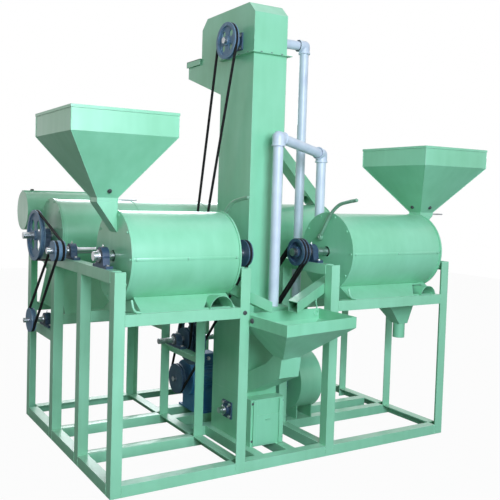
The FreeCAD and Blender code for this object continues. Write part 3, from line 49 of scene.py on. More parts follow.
print("stage: frame loaded,", len(nodes), "nodes")


# Small helpers for materials

def hexColour(code):
    # sRGB hex to the linear values that the shaders want
    parts = [int(code[i:i + 2], 16) / 255 for i in (1, 3, 5)]
    return tuple(p / 12.92 if p <= 0.04045 else ((p + 0.055) / 1.055) ** 2.4 for p in parts) + (1.0,)


def addNode(tree, kind, settings=None, links=None):
    # a shader node, its settings or plain input values, and its inputs linked to other nodes' outputs
    node = tree.nodes.new("ShaderNode" + kind)
    for name, value in (settings or {}).items():
        if isinstance(name, int) or name in node.inputs:
            node.inputs[name].default_value = value
        else:
            setattr(node, name, value)
    for name, source in (links or {}).items():
        tree.links.new(source, node.inputs[name])
    return node


def millimetres(size):
    # texture scale for a pattern whose features are this many millimetres across
    return 1000.0 / size


def newMaterial(name, viewColour):
    # an empty material, its node tree, and the object coordinates that all patterns use
    material = bpy.data.materials.new(name)
    material.use_nodes = True
    material.diffuse_color = hexColour(viewColour)
    tree = material.node_tree
    tree.nodes.clear()
    return material, tree, addNode(tree, "TexCoord").outputs["Object"]


def closeMaterial(tree, colour, rough, normal, settings):
    # the shader and the output at the end of a material's patterns
    shader = addNode(tree, "BsdfPrincipled", settings,
                     {"Base Color": colour, "Roughness": rough, "Normal": normal})
    addNode(tree, "OutputMaterial", links={"Surface": shader.outputs[0]})


def edgeMask(tree, radius, low, high):
    # one where the surface turns over a sharp edge, zero on flats; also the rounded normal itself
    rounded = addNode(tree, "Bevel", {"samples": 4, "Radius": radius / 1000})
    flat = addNode(tree, "NewGeometry")
    same = addNode(tree, "VectorMath", {"operation": "DOT_PRODUCT"},
                   {0: rounded.outputs[0], 1: flat.outputs["Normal"]})
    mask = addNode(tree, "MapRange", {"From Min": high, "From Max": low, "To Min": 0.0, "To Max": 1.0},
                   {"Value": same.outputs["Value"]})
    return mask.outputs["Result"], rounded.outputs[0]


# Finishes: colours in sRGB hex, pattern sizes in millimetres

sheetPaint = {
    "colour": "#8ad4ad", "thin": "#7cc79c", "edge": "#b4ebd2", "dust": "#bfd6ca",
    "patch": 260.0, "run": 45.0, "runStretch": 0.12, "peel": 3.5, "dent": 150.0, "wavy": 0.5,
    "chip": 30.0, "speck": 14.0, "edgeRound": 2.2, "coat": 0.5, "coatRough": 0.26,
}
anglePaint = {**sheetPaint, "colour": "#93d8b2", "thin": "#85caa2", "peel": 2.5, "wavy": 0.15}
pattern = {"castCloud": 35.0, "castEdgeRound": 1.5, "handled": 40.0, "pipeMarks": 90.0, "pipeDrawn": 12.0,
           "beltWeave": 3.0, "beltFlour": 60.0}


def makeEnamel(name, paint):
    # gloss enamel sprayed on steel: soft shifts of green, faint runs, orange peel, pale edges, settled dust
    material, tree, place = newMaterial(name, paint["colour"])
    patches = addNode(tree, "TexNoise", {"Scale": millimetres(paint["patch"]), "Detail": 3.0},
                      {"Vector": place})
    stretch = addNode(tree, "Mapping", {"Scale": (1.0, 1.0, paint["runStretch"])}, {"Vector": place})
    runs = addNode(tree, "TexNoise", {"Scale": millimetres(paint["run"]), "Detail": 2.0},
                   {"Vector": stretch.outputs[0]})
    blend = addNode(tree, "Math", {"operation": "MULTIPLY_ADD", 1: 0.45},
                    {0: runs.outputs["Fac"], 2: patches.outputs["Fac"]})
    spread = addNode(tree, "MapRange", {"From Min": 0.5, "From Max": 0.95}, {"Value": blend.outputs[0]})
    body = addNode(tree, "Mix",
                   {"data_type": "RGBA", 6: hexColour(paint["colour"]), 7: hexColour(paint["thin"])},
                   {0: spread.outputs[0]})
    edges, rounded = edgeMask(tree, paint["edgeRound"], 0.9, 0.995)
    chips = addNode(tree, "TexNoise", {"Scale": millimetres(paint["chip"]), "Detail": 4.0}, {"Vector": place})
    chipped = addNode(tree, "Math", {"operation": "MULTIPLY"}, {0: edges, 1: chips.outputs["Fac"]})
    edged = addNode(tree, "Mix", {"data_type": "RGBA", 7: hexColour(paint["edge"])},
                    {0: chipped.outputs[0], 6: body.outputs[2]})
    facing = addNode(tree, "SeparateXYZ", links={0: addNode(tree, "NewGeometry").outputs["Normal"]})
    upward = addNode(tree, "MapRange", {"From Min": 0.55, "From Max": 1.0, "To Max": 0.3},
                     {"Value": facing.outputs[2]})
    specks = addNode(tree, "TexNoise", {"Scale": millimetres(paint["speck"]), "Detail": 5.0},
                     {"Vector": place})
    settled = addNode(tree, "Math", {"operation": "MULTIPLY"},
                      {0: upward.outputs[0], 1: specks.outputs["Fac"]})
    dusted = addNode(tree, "Mix", {"data_type": "RGBA", 7: hexColour(paint["dust"])},
                     {0: settled.outputs[0], 6: edged.outputs[2]})
    rough = addNode(tree, "MapRange", {"From Min": 0.3, "From Max": 0.8, "To Min": 0.24, "To Max": 0.4},
                    {"Value": blend.outputs[0]})
    peel = addNode(tree, "TexNoise", {"Scale": millimetres(paint["peel"]), "Detail": 1.0}, {"Vector": place})
    peelBump = addNode(tree, "Bump", {"Strength": 0.12, "Distance": 0.0004},
                       {"Height": peel.outputs["Fac"], "Normal": rounded})
    dent = addNode(tree, "TexNoise", {"Scale": millimetres(paint["dent"]), "Detail": 0.0}, {"Vector": place})
    dentBump = addNode(tree, "Bump", {"Strength": paint["wavy"], "Distance": 0.002},
                       {"Height": dent.outputs["Fac"], "Normal": peelBump.outputs[0]})
    closeMaterial(tree, dusted.outputs[2], rough.outputs[0], dentBump.outputs[0],
                  {"IOR": 1.5, "Coat Weight": paint["coat"], "Coat Roughness": paint["coatRough"]})
    return material


def makePaintedIron(name, colour, worn, dust, grain):
    # rough metal under machinery paint: grainy skin, edges rubbed to a lighter tone, patches of dry dust
    material, tree, place = newMaterial(name, colour)
    cloud = addNode(tree, "TexNoise", {"Scale": millimetres(pattern["castCloud"]), "Detail": 4.0},
                    {"Vector": place})
    dusty = addNode(tree, "MapRange", {"From Min": 0.45, "From Max": 0.8, "To Max": 0.5},
                    {"Value": cloud.outputs["Fac"]})
    body = addNode(tree, "Mix", {"data_type": "RGBA", 6: hexColour(colour), 7: hexColour(dust)},
                   {0: dusty.outputs[0]})
    edges, rounded = edgeMask(tree, pattern["castEdgeRound"], 0.88, 0.99)
    rubbed = addNode(tree, "Mix", {"data_type": "RGBA", 7: hexColour(worn)}, {0: edges, 6: body.outputs[2]})
    rough = addNode(tree, "MapRange", {"To Min": 0.35, "To Max": 0.6}, {"Value": cloud.outputs["Fac"]})
    sand = addNode(tree, "TexNoise", {"Scale": millimetres(grain), "Detail": 3.0}, {"Vector": place})
    skin = addNode(tree, "Bump", {"Strength": 0.35, "Distance": 0.0006},
                   {"Height": sand.outputs["Fac"], "Normal": rounded})
    closeMaterial(tree, rubbed.outputs[2], rough.outputs[0], skin.outputs[0], {})
    return material


def makeTurnedSteel(name, colour, tint, turn):
    # steel turned in a lathe: fine rings round the bar, a few darker handled patches
    material, tree, place = newMaterial(name, colour)
    rings = addNode(tree, "TexWave", {"bands_direction": "X", "Scale": millimetres(turn) / 6.0,
                                      "Distortion": 1.5, "Detail": 2.0}, {"Vector": place})
    handled = addNode(tree, "TexNoise", {"Scale": millimetres(pattern["handled"]), "Detail": 4.0},
                      {"Vector": place})
    shade = addNode(tree, "MapRange", {"From Min": 0.5, "From Max": 0.8}, {"Value": handled.outputs["Fac"]})
    body = addNode(tree, "Mix", {"data_type": "RGBA", 6: hexColour(colour), 7: hexColour(tint)},
                   {0: shade.outputs[0]})
    rough = addNode(tree, "MapRange", {"To Min": 0.2, "To Max": 0.38}, {"Value": rings.outputs["Fac"]})
    cut = addNode(tree, "Bump", {"Strength": 0.15, "Distance": 0.0002}, {"Height": rings.outputs["Fac"]})
    closeMaterial(tree, body.outputs[2], rough.outputs[0], cut.outputs[0], {"Metallic": 1.0})
    return material


def makeGalvanised(name, light, dark, spangle):
    # hot-dip galvanised sheet: flat crystal patches a few millimetres across, soft grey shine
    material, tree, place = newMaterial(name, light)
    crystals = addNode(tree, "TexVoronoi", {"Scale": millimetres(spangle)}, {"Vector": place})
    tone = addNode(tree, "SeparateColor", links={0: crystals.outputs["Color"]})
    body = addNode(tree, "Mix", {"data_type": "RGBA", 6: hexColour(light), 7: hexColour(dark)},
                   {0: tone.outputs[0]})
    rough = addNode(tree, "MapRange", {"To Min": 0.3, "To Max": 0.5}, {"Value": tone.outputs[1]})
    bump = addNode(tree, "Bump", {"Strength": 0.1, "Distance": 0.0003}, {"Height": tone.outputs[2]})
    closeMaterial(tree, body.outputs[2], rough.outputs[0], bump.outputs[0], {"Metallic": 0.9})
    return material


def makeMouldedPvc(name, colour, shade):
    # extruded rigid PVC pipe: satin pale grey with a cool cast, faint draw lines and finger marks
    material, tree, place = newMaterial(name, colour)
    marks = addNode(tree, "TexNoise", {"Scale": millimetres(pattern["pipeMarks"]), "Detail": 5.0},
                    {"Vector": place})
    spread = addNode(tree, "MapRange", {"From Min": 0.4, "From Max": 0.75}, {"Value": marks.outputs["Fac"]})
    body = addNode(tree, "Mix", {"data_type": "RGBA", 6: hexColour(colour), 7: hexColour(shade)},
                   {0: spread.outputs[0]})
    rough = addNode(tree, "MapRange", {"To Min": 0.25, "To Max": 0.42}, {"Value": marks.outputs["Fac"]})
    drawn = addNode(tree, "TexNoise", {"Scale": millimetres(pattern["pipeDrawn"])}, {"Vector": place})
    bump = addNode(tree, "Bump", {"Strength": 0.08, "Distance": 0.0005}, {"Height": drawn.outputs["Fac"]})
    closeMaterial(tree, body.outputs[2], rough.outputs[0], bump.outputs[0], {"IOR": 1.53})
    return material


def makeBeltRubber(name, colour, dusty):
    # wrapped V-belt: fabric-faced black rubber, matt, dusted by flour in the weave
    material, tree, place = newMaterial(name, colour)
    weave = addNode(tree, "TexNoise", {"Scale": millimetres(pattern["beltWeave"]), "Detail": 2.0},
                    {"Vector": place})
    flour = addNode(tree, "TexNoise", {"Scale": millimetres(pattern["beltFlour"]), "Detail": 5.0},
                    {"Vector": place})
    settled = addNode(tree, "MapRange", {"From Min": 0.5, "From Max": 0.9, "To Max": 0.5},
                      {"Value": flour.outputs["Fac"]})
    body = addNode(tree, "Mix", {"data_type": "RGBA", 6: hexColour(colour), 7: hexColour(dusty)},
                   {0: settled.outputs[0]})
    rough = addNode(tree, "MapRange", {"To Min": 0.75, "To Max": 0.95}, {"Value": weave.outputs["Fac"]})
    bump = addNode(tree, "Bump", {"Strength": 0.5, "Distance": 0.0005}, {"Height": weave.outputs["Fac"]})
    closeMaterial(tree, body.outputs[2], rough.outputs[0], bump.outputs[0],
                  {"IOR": 1.52, "Specular IOR Level": 0.3})
    return material


def makeEmery(name, colour, grit, size):
    # emery grit in a magnesite bond: dark grains in a brown-grey matrix
    material, tree, place = newMaterial(name, colour)
    grains = addNode(tree, "TexVoronoi", {"Scale": millimetres(size)}, {"Vector": place})
    tone = addNode(tree, "SeparateColor", links={0: grains.outputs["Color"]})
    body = addNode(tree, "Mix", {"data_type": "RGBA", 6: hexColour(colour), 7: hexColour(grit)},
                   {0: tone.outputs[0]})
    rough = addNode(tree, "MapRange", {"To Min": 0.55, "To Max": 0.95}, {"Value": tone.outputs[1]})
    bump = addNode(tree, "Bump", {"Strength": 0.7, "Distance": 0.0015},
                   {"Height": grains.outputs["Distance"]})
    closeMaterial(tree, body.outputs[2], rough.outputs[0], bump.outputs[0], {})
    return material


sheetEnamel = makeEnamel("gloss_enamel_on_sheet", sheetPaint)
angleEnamel = makeEnamel("gloss_enamel_on_angle_iron", anglePaint)
pulleyPaint = makePaintedIron("cast_pulley_grey_blue_paint", "#587c99", "#a0b7c6", "#8aa0ab", 2.0)
darkPulleyPaint = makePaintedIron("cast_pulley_dark_blue_paint", "#34506c", "#7f9bb3", "#627a8c", 2.0)
bearingPaint = makePaintedIron("cast_bearing_dark_blue_paint", "#25405a", "#5c7b95", "#4f6676", 1.6)
motorPaint = makePaintedIron("motor_blue_enamel", "#2f6f9f", "#7fa9c4", "#5b89a6", 1.2)
leverPaint = makePaintedIron("worn_enamel_on_steel_bar", "#76a98b", "#a9b3a6", "#6f8778", 2.5)
blackBolt = makePaintedIron("blackened_bolt_steel", "#34383a", "#6d7376", "#565b5c", 1.0)
turnedSteel = makeTurnedSteel("bright_turned_steel", "#c3c7ca", "#8e9294", 1.2)
platedSteel = makeTurnedSteel("zinc_plated_steel", "#cdd0cf", "#a5a79f", 3.0)
galvanised = makeGalvanised("galvanised_sheet", "#c6cbcd", "#a3a9ac", 9.0)
pipePvc = makeMouldedPvc("rigid_pvc_pipe", "#cfdde6", "#bccbd8")
beltRubber = makeBeltRubber("wrapped_belt_rubber", "#0b0c0d", "#1d2020")
emeryStone = makeEmery("emery_stone", "#4a443d", "#7c756b", 2.0)

slotFinish = {
    "green_enamel": sheetEnamel, "bright_steel": turnedSteel, "plated_sheet": galvanised,
    "pulley_iron": pulleyPaint, "bearing_iron": bearingPaint, "emery_stone": emeryStone,
    "pipe_plastic": pipePvc, "belt_rubber": beltRubber, "motor_paint": motorPaint,
}
ownFinish = {"fasteners": platedSteel}      # nodes whose finish differs from their slot's
ownFinish.update(dict.fromkeys(("posts", "upper_rails", "base_rails"), angleEnamel))
darkPulleys = ("motor_pulley", "left_drum_pulley", "right_drum_pulley", "counter_shaft_pulleys")
ownFinish.update(dict.fromkeys(darkPulleys, darkPulleyPaint))
slotOf = {entry["node"]: entry["material_slot"] for entry in frame["record"]["subparts"]}

for nodeName, node in nodes.items():
    node.data.materials.clear()
    node.data.materials.append(ownFinish.get(nodeName) or slotFinish[slotOf[nodeName]])
print("stage: finishes on the CAD nodes")


# Building new pieces

origin = (980.0, 580.5)     # where the shared frame's origin lies, from the mill frame's front left corner
toRight, toFront, toTop = Vector((1.0, 0.0, 0.0)), Vector((0.0, -1.0, 0.0)), Vector((0.0, 0.0, 1.0))


def spot(x, y, z):
    # a point given in the source's own millimetres, which start at the frame's front left corner
    return Vector((x - origin[0], y - origin[1], z)) / 1000


def axisSpot(x, sizes):
    # a point on the axis of a shaft, drum or hub that lies along X
    return spot(x, sizes["y"], sizes["z"])


def outward(turn):
    # a direction square to the X axis, turned from straight up towards the back
    return Vector((0.0, math.sin(turn), math.cos(turn)))


def standing(place, way):
    # stands a shape's own Z axis along a direction
    return Matrix.Translation(place) @ toTop.rotation_difference(Vector(way)).to_matrix().to_4x4()


def edgesOf(verts):
    return list({edge for vert in verts for edge in vert.link_edges})


def capEdges(verts):
    # the edges round a disc's two flat ends
    return [edge for edge in edgesOf(verts) if any(len(face.verts) > 4 for face in edge.link_faces)]


def soften(form, edges, size, segments=2):
    # rounds edges over by this many millimetres
    bmesh.ops.bevel(form, geom=edges, offset=size / 1000, segments=segments, profile=0.5, affect="EDGES",
                    material=-1)


def addDisc(form, place, way, radius, depth, segments=24, narrow=1.0):
    # round or many-sided slab on a face; narrow is how much of the radius is left at its far end
    middle = standing(place, way) @ Matrix.Translation((0.0, 0.0, depth / 2000))
    return bmesh.ops.create_cone(form, cap_ends=True, segments=segments, radius1=radius / 1000,
                                 radius2=radius * narrow / 1000, depth=depth / 1000, matrix=middle)["verts"]


def addBlock(form, low, high):
    # box between two corners in the source's millimetres
    low, high = spot(*low), spot(*high)
    shape = Matrix.Translation((low + high) / 2) @ Matrix.Diagonal((*(high - low), 1.0))
    return bmesh.ops.create_cube(form, size=1.0, matrix=shape)["verts"]


def addBall(form, place, radius, columns, rows):
    bmesh.ops.create_uvsphere(form, u_segments=columns, v_segments=rows, radius=radius / 1000,
                              matrix=Matrix.Translation(place))


def addBolt(form, place, way, size):
    # washer, hexagon head and its chamfer, each in shares of the head's radius, which is the size
    way = Vector(way).normalized()
    for start, radius, depth, sides, narrow in ((0.0, 1.15, 0.2, 14, 1.0), (0.2, 1.0, 0.55, 6, 1.0),
                                                (0.75, 0.94, 0.12, 6, 0.82)):
        addDisc(form, place + way * size * start / 1000, way, size * radius, size * depth, sides, narrow)


def addBoltRing(form, x, side, sizes):
    # bolts spaced evenly round an end plate
    for count in range(sizes["bolts"]):
        out = outward(math.tau * (count + 0.5) / sizes["bolts"])
        addBolt(form, axisSpot(x, sizes) + out * sizes["boltRing"] / 1000, toRight * side, sizes["bolt"])


def addBar(form, points, radius, segments=12):
    # round bar bent along a line of points
    legs = [(end - start).normalized() for start, end in zip(points, points[1:])]
    start = bmesh.ops.create_circle(form, cap_ends=True, segments=segments, radius=radius / 1000,
                                    matrix=standing(points[0], legs[0]))
    face = start["verts"][0].link_faces[0]
    facingWay = legs[0]
    for i, point in enumerate(points[1:], 1):
        grown = bmesh.ops.extrude_face_region(form, geom=[face])["geom"]
        ring = [part for part in grown if isinstance(part, bmesh.types.BMVert)]
        face = next(part for part in grown if isinstance(part, bmesh.types.BMFace))
        bmesh.ops.translate(form, verts=ring, vec=point - points[i - 1])
        nextWay = (legs[i - 1] + legs[min(i, len(legs) - 1)]).normalized()
        turn = facingWay.rotation_difference(nextWay).to_matrix()
        bmesh.ops.rotate(form, verts=ring, cent=point, matrix=turn)
        facingWay = nextWay


def addRing(form, place, way, radius, wire, steps=36, segments=8):
    # round wire bent into a closed ring about a direction
    across = way.orthogonal().normalized()
    start = bmesh.ops.create_circle(form, segments=segments, radius=wire / 1000,
                                    matrix=standing(place + across * radius / 1000,
                                                    way.cross(across)))["verts"]
    bmesh.ops.spin(form, geom=start + edgesOf(start), cent=place, axis=way, angle=math.tau, steps=steps,
                   use_merge=True)


def smoothLine(points, steps):
    # a smooth run of points through the given ones
    ends = [points[0] * 2 - points[1]] + points + [points[-1] * 2 - points[-2]]
    line = []
    for before, start, end, after in zip(ends, ends[1:], ends[2:], ends[3:]):
        for step in range(steps):
            share = step / steps
            point = start * 2 + (end - before) * share
            point += (before * 2 - start * 5 + end * 4 - after) * share ** 2
            point += (start * 3 - before - end * 3 + after) * share ** 3
            line.append(point / 2)
    return line + [points[-1]]


def makePiece(form, name, finish, body, sharp=38.0):
    # the form as an object with its finish, smooth up to the sharp angle, on its body
    bmesh.ops.recalc_face_normals(form, faces=form.faces)
    mesh = bpy.data.meshes.new(name)
    form.to_mesh(mesh)
    form.free()
    mesh.materials.append(finish)
    mesh.shade_smooth()
    mesh.set_sharp_from_angle(angle=math.radians(sharp))
    piece = bpy.data.objects.new(name, mesh)
    bpy.context.scene.collection.objects.link(piece)
    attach(piece, body)
    return piece


# Outlet levers

lever = {
    "y": 243.0, "z": 1064.0, "gap": 0.3, "rod": 9.0, "hub": 16.0, "hubLength": 19.0, "hubRound": 1.8,
    "pin": 6.0, "screw": 4.5, "baffleHalf": 18.0, "baffleReach": 52.0, "baffleWall": 4.0,
    "bends": ((243.0, 1064.0), (205.0, 1123.0), (166.0, 1184.0), (104.0, 1234.0), (38.0, 1252.0),
              (-24.0, 1262.0)),
    "leftPlate": (608.0, 600.0), "rightPlate": (1262.0, 1270.0),      # outer and inner face
}


def makeLever(name, node, body, plate, side, sizes):
    # forged hub on a pin through the end plate, curved round handle, flat baffle inside
    form = bmesh.new()
    way = toRight * side
    start = plate[0] + side * sizes["gap"]
    inner = plate[1] - side * (sizes["gap"] + sizes["baffleWall"])
    hub = addDisc(form, axisSpot(start, sizes), way, sizes["hub"], sizes["hubLength"], 32)
    soften(form, capEdges(hub), sizes["hubRound"])
    addDisc(form, axisSpot(inner, sizes), way, sizes["pin"], abs(start - inner), 20)
    plane = start + side * sizes["hubLength"] / 2
    points = smoothLine([spot(plane, y, z) for y, z in sizes["bends"]], 5)
    addBar(form, points, sizes["rod"], 14)
    addBall(form, points[-1], sizes["rod"], 14, 8)
    low, high = sorted((inner, inner + side * sizes["baffleWall"]))
    addBlock(form, (low, sizes["y"] - sizes["baffleHalf"], sizes["z"] - sizes["baffleReach"]),
             (high, sizes["y"] + sizes["baffleHalf"], sizes["z"] + sizes["hub"]))
    addBolt(form, axisSpot(start + side * sizes["hubLength"], sizes), way, sizes["screw"])
    piece = makePiece(form, name, leverPaint, body)
    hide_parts(node)


makeLever("left_lever_handle", "left_outlet_lever", "left_lever", lever["leftPlate"], 1, lever)
makeLever("right_lever_handle", "right_outlet_lever", "right_lever", lever["rightPlate"], -1, lever)
print("stage: levers")


# Hopper bolts and corner welds

hopper = {
    "y": 198.0, "half": 233.5, "neckX": 47.5, "neckY": 41.0, "band": 100.0, "neck": 17.0,
    "bolt": 9.0, "boltRise": 28.0, "bead": 1.8, "beadTop": 14.0, "beadBottom": 2.0,
    "left": {"bottom": 1229.0, "top": 1604.0, "faces": ((0, -1), (0, 1))},
    "right": {"bottom": 1187.0, "top": 1555.0, "faces": ((-1, 0), (0, -1), (0, 1), (1, 0))},
}


def makeHopperDetail(side, sizes):
    # a bolt low on each named face of the cone, and a weld seam down each corner from band to neck
    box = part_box(side + "_hopper")
    middle = (box[0][0] + box[1][0]) / 2 * 1000 + origin[0]
    own = sizes[side]
    low, high = own["bottom"] + sizes["neck"], own["top"] - sizes["band"]
    bolts, beads = bmesh.new(), bmesh.new()
    for across, along in own["faces"]:
        flat = sizes["neckX"] if across else sizes["neckY"]
        run, climb = sizes["half"] - flat, high - low
        reach = flat + run * sizes["boltRise"] / climb
        addBolt(bolts, spot(middle + across * reach, sizes["y"] + along * reach, low + sizes["boltRise"]),
                (across * climb, along * climb, -run), sizes["bolt"])
    seam = ((sizes["half"], sizes["half"], own["top"] - sizes["beadTop"]),
            (sizes["half"], sizes["half"], high),
            (sizes["neckX"], sizes["neckY"], low),
            (sizes["neckX"], sizes["neckY"], own["bottom"] + sizes["beadBottom"]))
    for cornerX in (-1, 1):
        for cornerY in (-1, 1):
            points = [spot(middle + cornerX * x, sizes["y"] + cornerY * y, z) for x, y, z in seam]
            addBar(beads, points, sizes["bead"], 8)
    makePiece(bolts, side + "_hopper_bolts", blackBolt, "machine")
    makePiece(beads, side + "_hopper_weld_seams", sheetEnamel, "machine")


makeHopperDetail("left", hopper)
makeHopperDetail("right", hopper)
print("stage: hoppers")


# Drum seams and end plate bolts

drum = {
    "y": 198.0, "z": 993.0, "radius": 197.0, "plate": 8.0,
    "left": (80.0, 600.0), "right": (1270.0, 1880.0),                     # where each shell starts and ends
    "strip": 7.0, "stripWall": 1.3, "stripSunk": 1.0, "stripShort": 2.0, "stripRound": 1.0, "stripBolt": 16.0,
    "boltRing": 188.0, "bolt": 5.5, "bolts": 10,
}


def makeDrumDetail(side, sizes):
    # lap strip along the front and the back at axis height, held by three bolts; bolts round both end plates
    start, end = sizes[side]
    strips, bolts = bmesh.new(), bmesh.new()
    for along in (-1, 1):
        face = sizes["y"] + along * sizes["radius"]
        front, back = sorted((face - along * sizes["stripSunk"], face + along * sizes["stripWall"]))
        block = addBlock(strips, (start + sizes["stripShort"], front, sizes["z"] - sizes["strip"]),
                         (end - sizes["stripShort"], back, sizes["z"] + sizes["strip"]))
        soften(strips, edgesOf(block), sizes["stripRound"])
        for x in (start + sizes["stripBolt"], (start + end) / 2, end - sizes["stripBolt"]):
            addBolt(bolts, spot(x, face + along * sizes["stripWall"], sizes["z"]), (0.0, along, 0.0),
                    sizes["bolt"])
    addBoltRing(bolts, start - sizes["plate"], -1, sizes)
    addBoltRing(bolts, end + sizes["plate"], 1, sizes)
    makePiece(strips, side + "_drum_lap_strips", sheetEnamel, "machine")
    makePiece(bolts, side + "_drum_bolts", sheetEnamel, "machine")


makeDrumDetail("left", drum)
makeDrumDetail("right", drum)
print("stage: drums")


# Bearings: seals and grease nipples stay with the housing, locking collars turn with the shaft

blockShafts = [
    {"body": "left_roller", "name": "left_drum", "y": 198.0, "z": 993.0, "radius": 20.0,
     "blocks": (25.0, 638.0)},
    {"body": "right_roller", "name": "right_drum", "y": 198.0, "z": 993.0, "radius": 20.0,
     "blocks": (1161.0, 1925.0)},
    {"body": "line_drive", "name": "line_shaft", "y": 600.0, "z": 983.0, "radius": 15.0,
     "blocks": (25.0, 638.0)},
    {"body": "reel_rotor", "name": "reel", "y": 1016.0, "z": 1030.0, "radius": 17.5,
     "blocks": (25.0, 1925.0)},
    {"body": "counter_drive", "name": "counter_shaft", "y": 656.0, "z": 490.0, "radius": 15.0,
     "blocks": (638.0, 1161.0)},
    {"body": "lower_drive", "name": "lower_shaft", "y": 976.0, "z": 588.0, "radius": 12.5,
     "blocks": (25.0, 638.0, 1161.0)},
]
flangeShafts = [
    {"body": "head_drive", "name": "elevator_head", "y": 355.0, "z": 2030.0, "radius": 15.0,
     "faces": ((785.0, -1), (980.0, 1))},
    {"body": "boot_drive", "name": "elevator_boot", "y": 355.0, "z": 180.0, "radius": 15.0,
     "faces": ((785.0, -1), (980.0, 1))},
    {"body": "fan_rotor", "name": "blower", "y": 500.0, "z": 255.0, "radius": 12.5, "faces": ((1236.0, -1),)},
]
bearing = {
    "collar": 6.5, "collarLength": 7.5, "collarRound": 0.9, "sealTaper": 0.93,
    "screw": 2.6, "screwHeight": 2.6, "screwSunk": 1.0, "screwTurns": (0.4, 2.5),
    "half": 16.0, "ringWall": 20.0, "seal": 12.0, "sealProud": 1.6,       # pillow blocks
    "flangeDepth": 22.0, "flangeSeal": 7.0, "flangeSealProud": 1.4,       # flange bearings
    "nippleAlong": 15.0, "nippleOut": 10.0, "nippleWay": Vector((0.0, -0.707, 0.707)),
}
nipple = {"hex": 5.2, "hexHeight": 6.0, "sunk": 2.0, "neck": 3.4, "neckHeight": 5.0, "taper": 0.55,
          "ball": 2.6, "ballRise": 9.8}


def addCollar(form, shaft, face, side, sizes):
    # locking collar with two set screws in its rim
    radius = shaft["radius"] + sizes["collar"]
    ring = addDisc(form, axisSpot(face, shaft), toRight * side, radius, sizes["collarLength"], 36)
    soften(form, capEdges(ring), sizes["collarRound"])
    middle = axisSpot(face + side * sizes["collarLength"] / 2, shaft)
    for turn in sizes["screwTurns"]:
        out = outward(turn)
        addDisc(form, middle + out * (radius - sizes["screwSunk"]) / 1000, out, sizes["screw"],
                sizes["screwHeight"], 6)


def addNipple(form, place, way, sizes):
    # hexagon, neck and ball of a grease nipple
    addDisc(form, place - way * sizes["sunk"] / 1000, way, sizes["hex"], sizes["hexHeight"], 6)
    neck = place + way * (sizes["hexHeight"] - sizes["sunk"]) / 1000
    addDisc(form, neck, way, sizes["neck"], sizes["neckHeight"], 10, sizes["taper"])
    addBall(form, place + way * sizes["ballRise"] / 1000, sizes["ball"], 10, 6)


def makeBearingDetail(sizes, nippleSizes):
    seals, nipples = bmesh.new(), bmesh.new()
    for shaft in blockShafts:
        collars = bmesh.new()
        for block in shaft["blocks"]:
            for side in (-1, 1):
                face = block + side * sizes["half"]
                addDisc(seals, axisSpot(face, shaft), toRight * side, shaft["radius"] + sizes["seal"],
                        sizes["sealProud"], 36, sizes["sealTaper"])
                addCollar(collars, shaft, face + side * sizes["sealProud"], side, sizes)
            top = spot(block, shaft["y"], shaft["z"] + shaft["radius"] + sizes["ringWall"])
            addNipple(nipples, top, toTop, nippleSizes)
        makePiece(collars, shaft["name"] + "_locking_collars", turnedSteel, shaft["body"])
    for shaft in flangeShafts:
        collars = bmesh.new()
        for face, side in shaft["faces"]:
            boss = face + side * sizes["flangeDepth"]
            addDisc(seals, axisSpot(boss, shaft), toRight * side, shaft["radius"] + sizes["flangeSeal"],
                    sizes["flangeSealProud"], 32, sizes["sealTaper"])
            addCollar(collars, shaft, boss + side * sizes["flangeSealProud"], side, sizes)
            slant, reach = sizes["nippleWay"], (shaft["radius"] + sizes["nippleOut"]) / 1000
            seat = axisSpot(face + side * sizes["nippleAlong"], shaft) + slant * reach
            addNipple(nipples, seat, slant, nippleSizes)
        makePiece(collars, shaft["name"] + "_locking_collars", turnedSteel, shaft["body"])
    makePiece(seals, "bearing_seals", blackBolt, "machine")
    makePiece(nipples, "grease_nipples", platedSteel, "machine")


makeBearingDetail(bearing, nipple)
print("stage: bearings")


# Motor: more fins, terminal lid with its screws and gland, fan cowl grille, lifting eye

motor = {
    "y": 805.0, "z": 235.0, "radius": 92.0, "start": 803.0, "end": 1021.0, "rear": 1075.0,
    "fins": 36, "finTop": 99.0, "finWall": 1.6, "finSunk": 3.0, "lidHalf": 0.4, "feetFrom": -0.55,
    "lid": 43.0, "lidX": 912.0, "lidLow": 361.6, "lidHigh": 369.0, "lidRound": 2.5,
    "screw": 3.4, "screwHeight": 2.0, "screwReach": 34.0,
    "grilleRings": (22.0, 40.0, 58.0, 76.0), "wire": 1.7, "ringProud": 0.5,
    "spokes": 6, "spokeStart": 6.0, "spokeEnd": 90.0, "spokeProud": 1.0,
    "gland": (900.0, 765.0, 342.0), "glandHex": 12.0, "glandHexHeight": 7.0,
    "glandNut": 10.0, "glandNutHeight": 9.0,
    "eyeX": 1002.0, "eye": 13.0, "eyeWire": 3.8, "eyeRise": 16.5,
    "eyeFoot": 11.0, "eyeFootHeight": 7.0, "eyeSunk": 4.0,
}


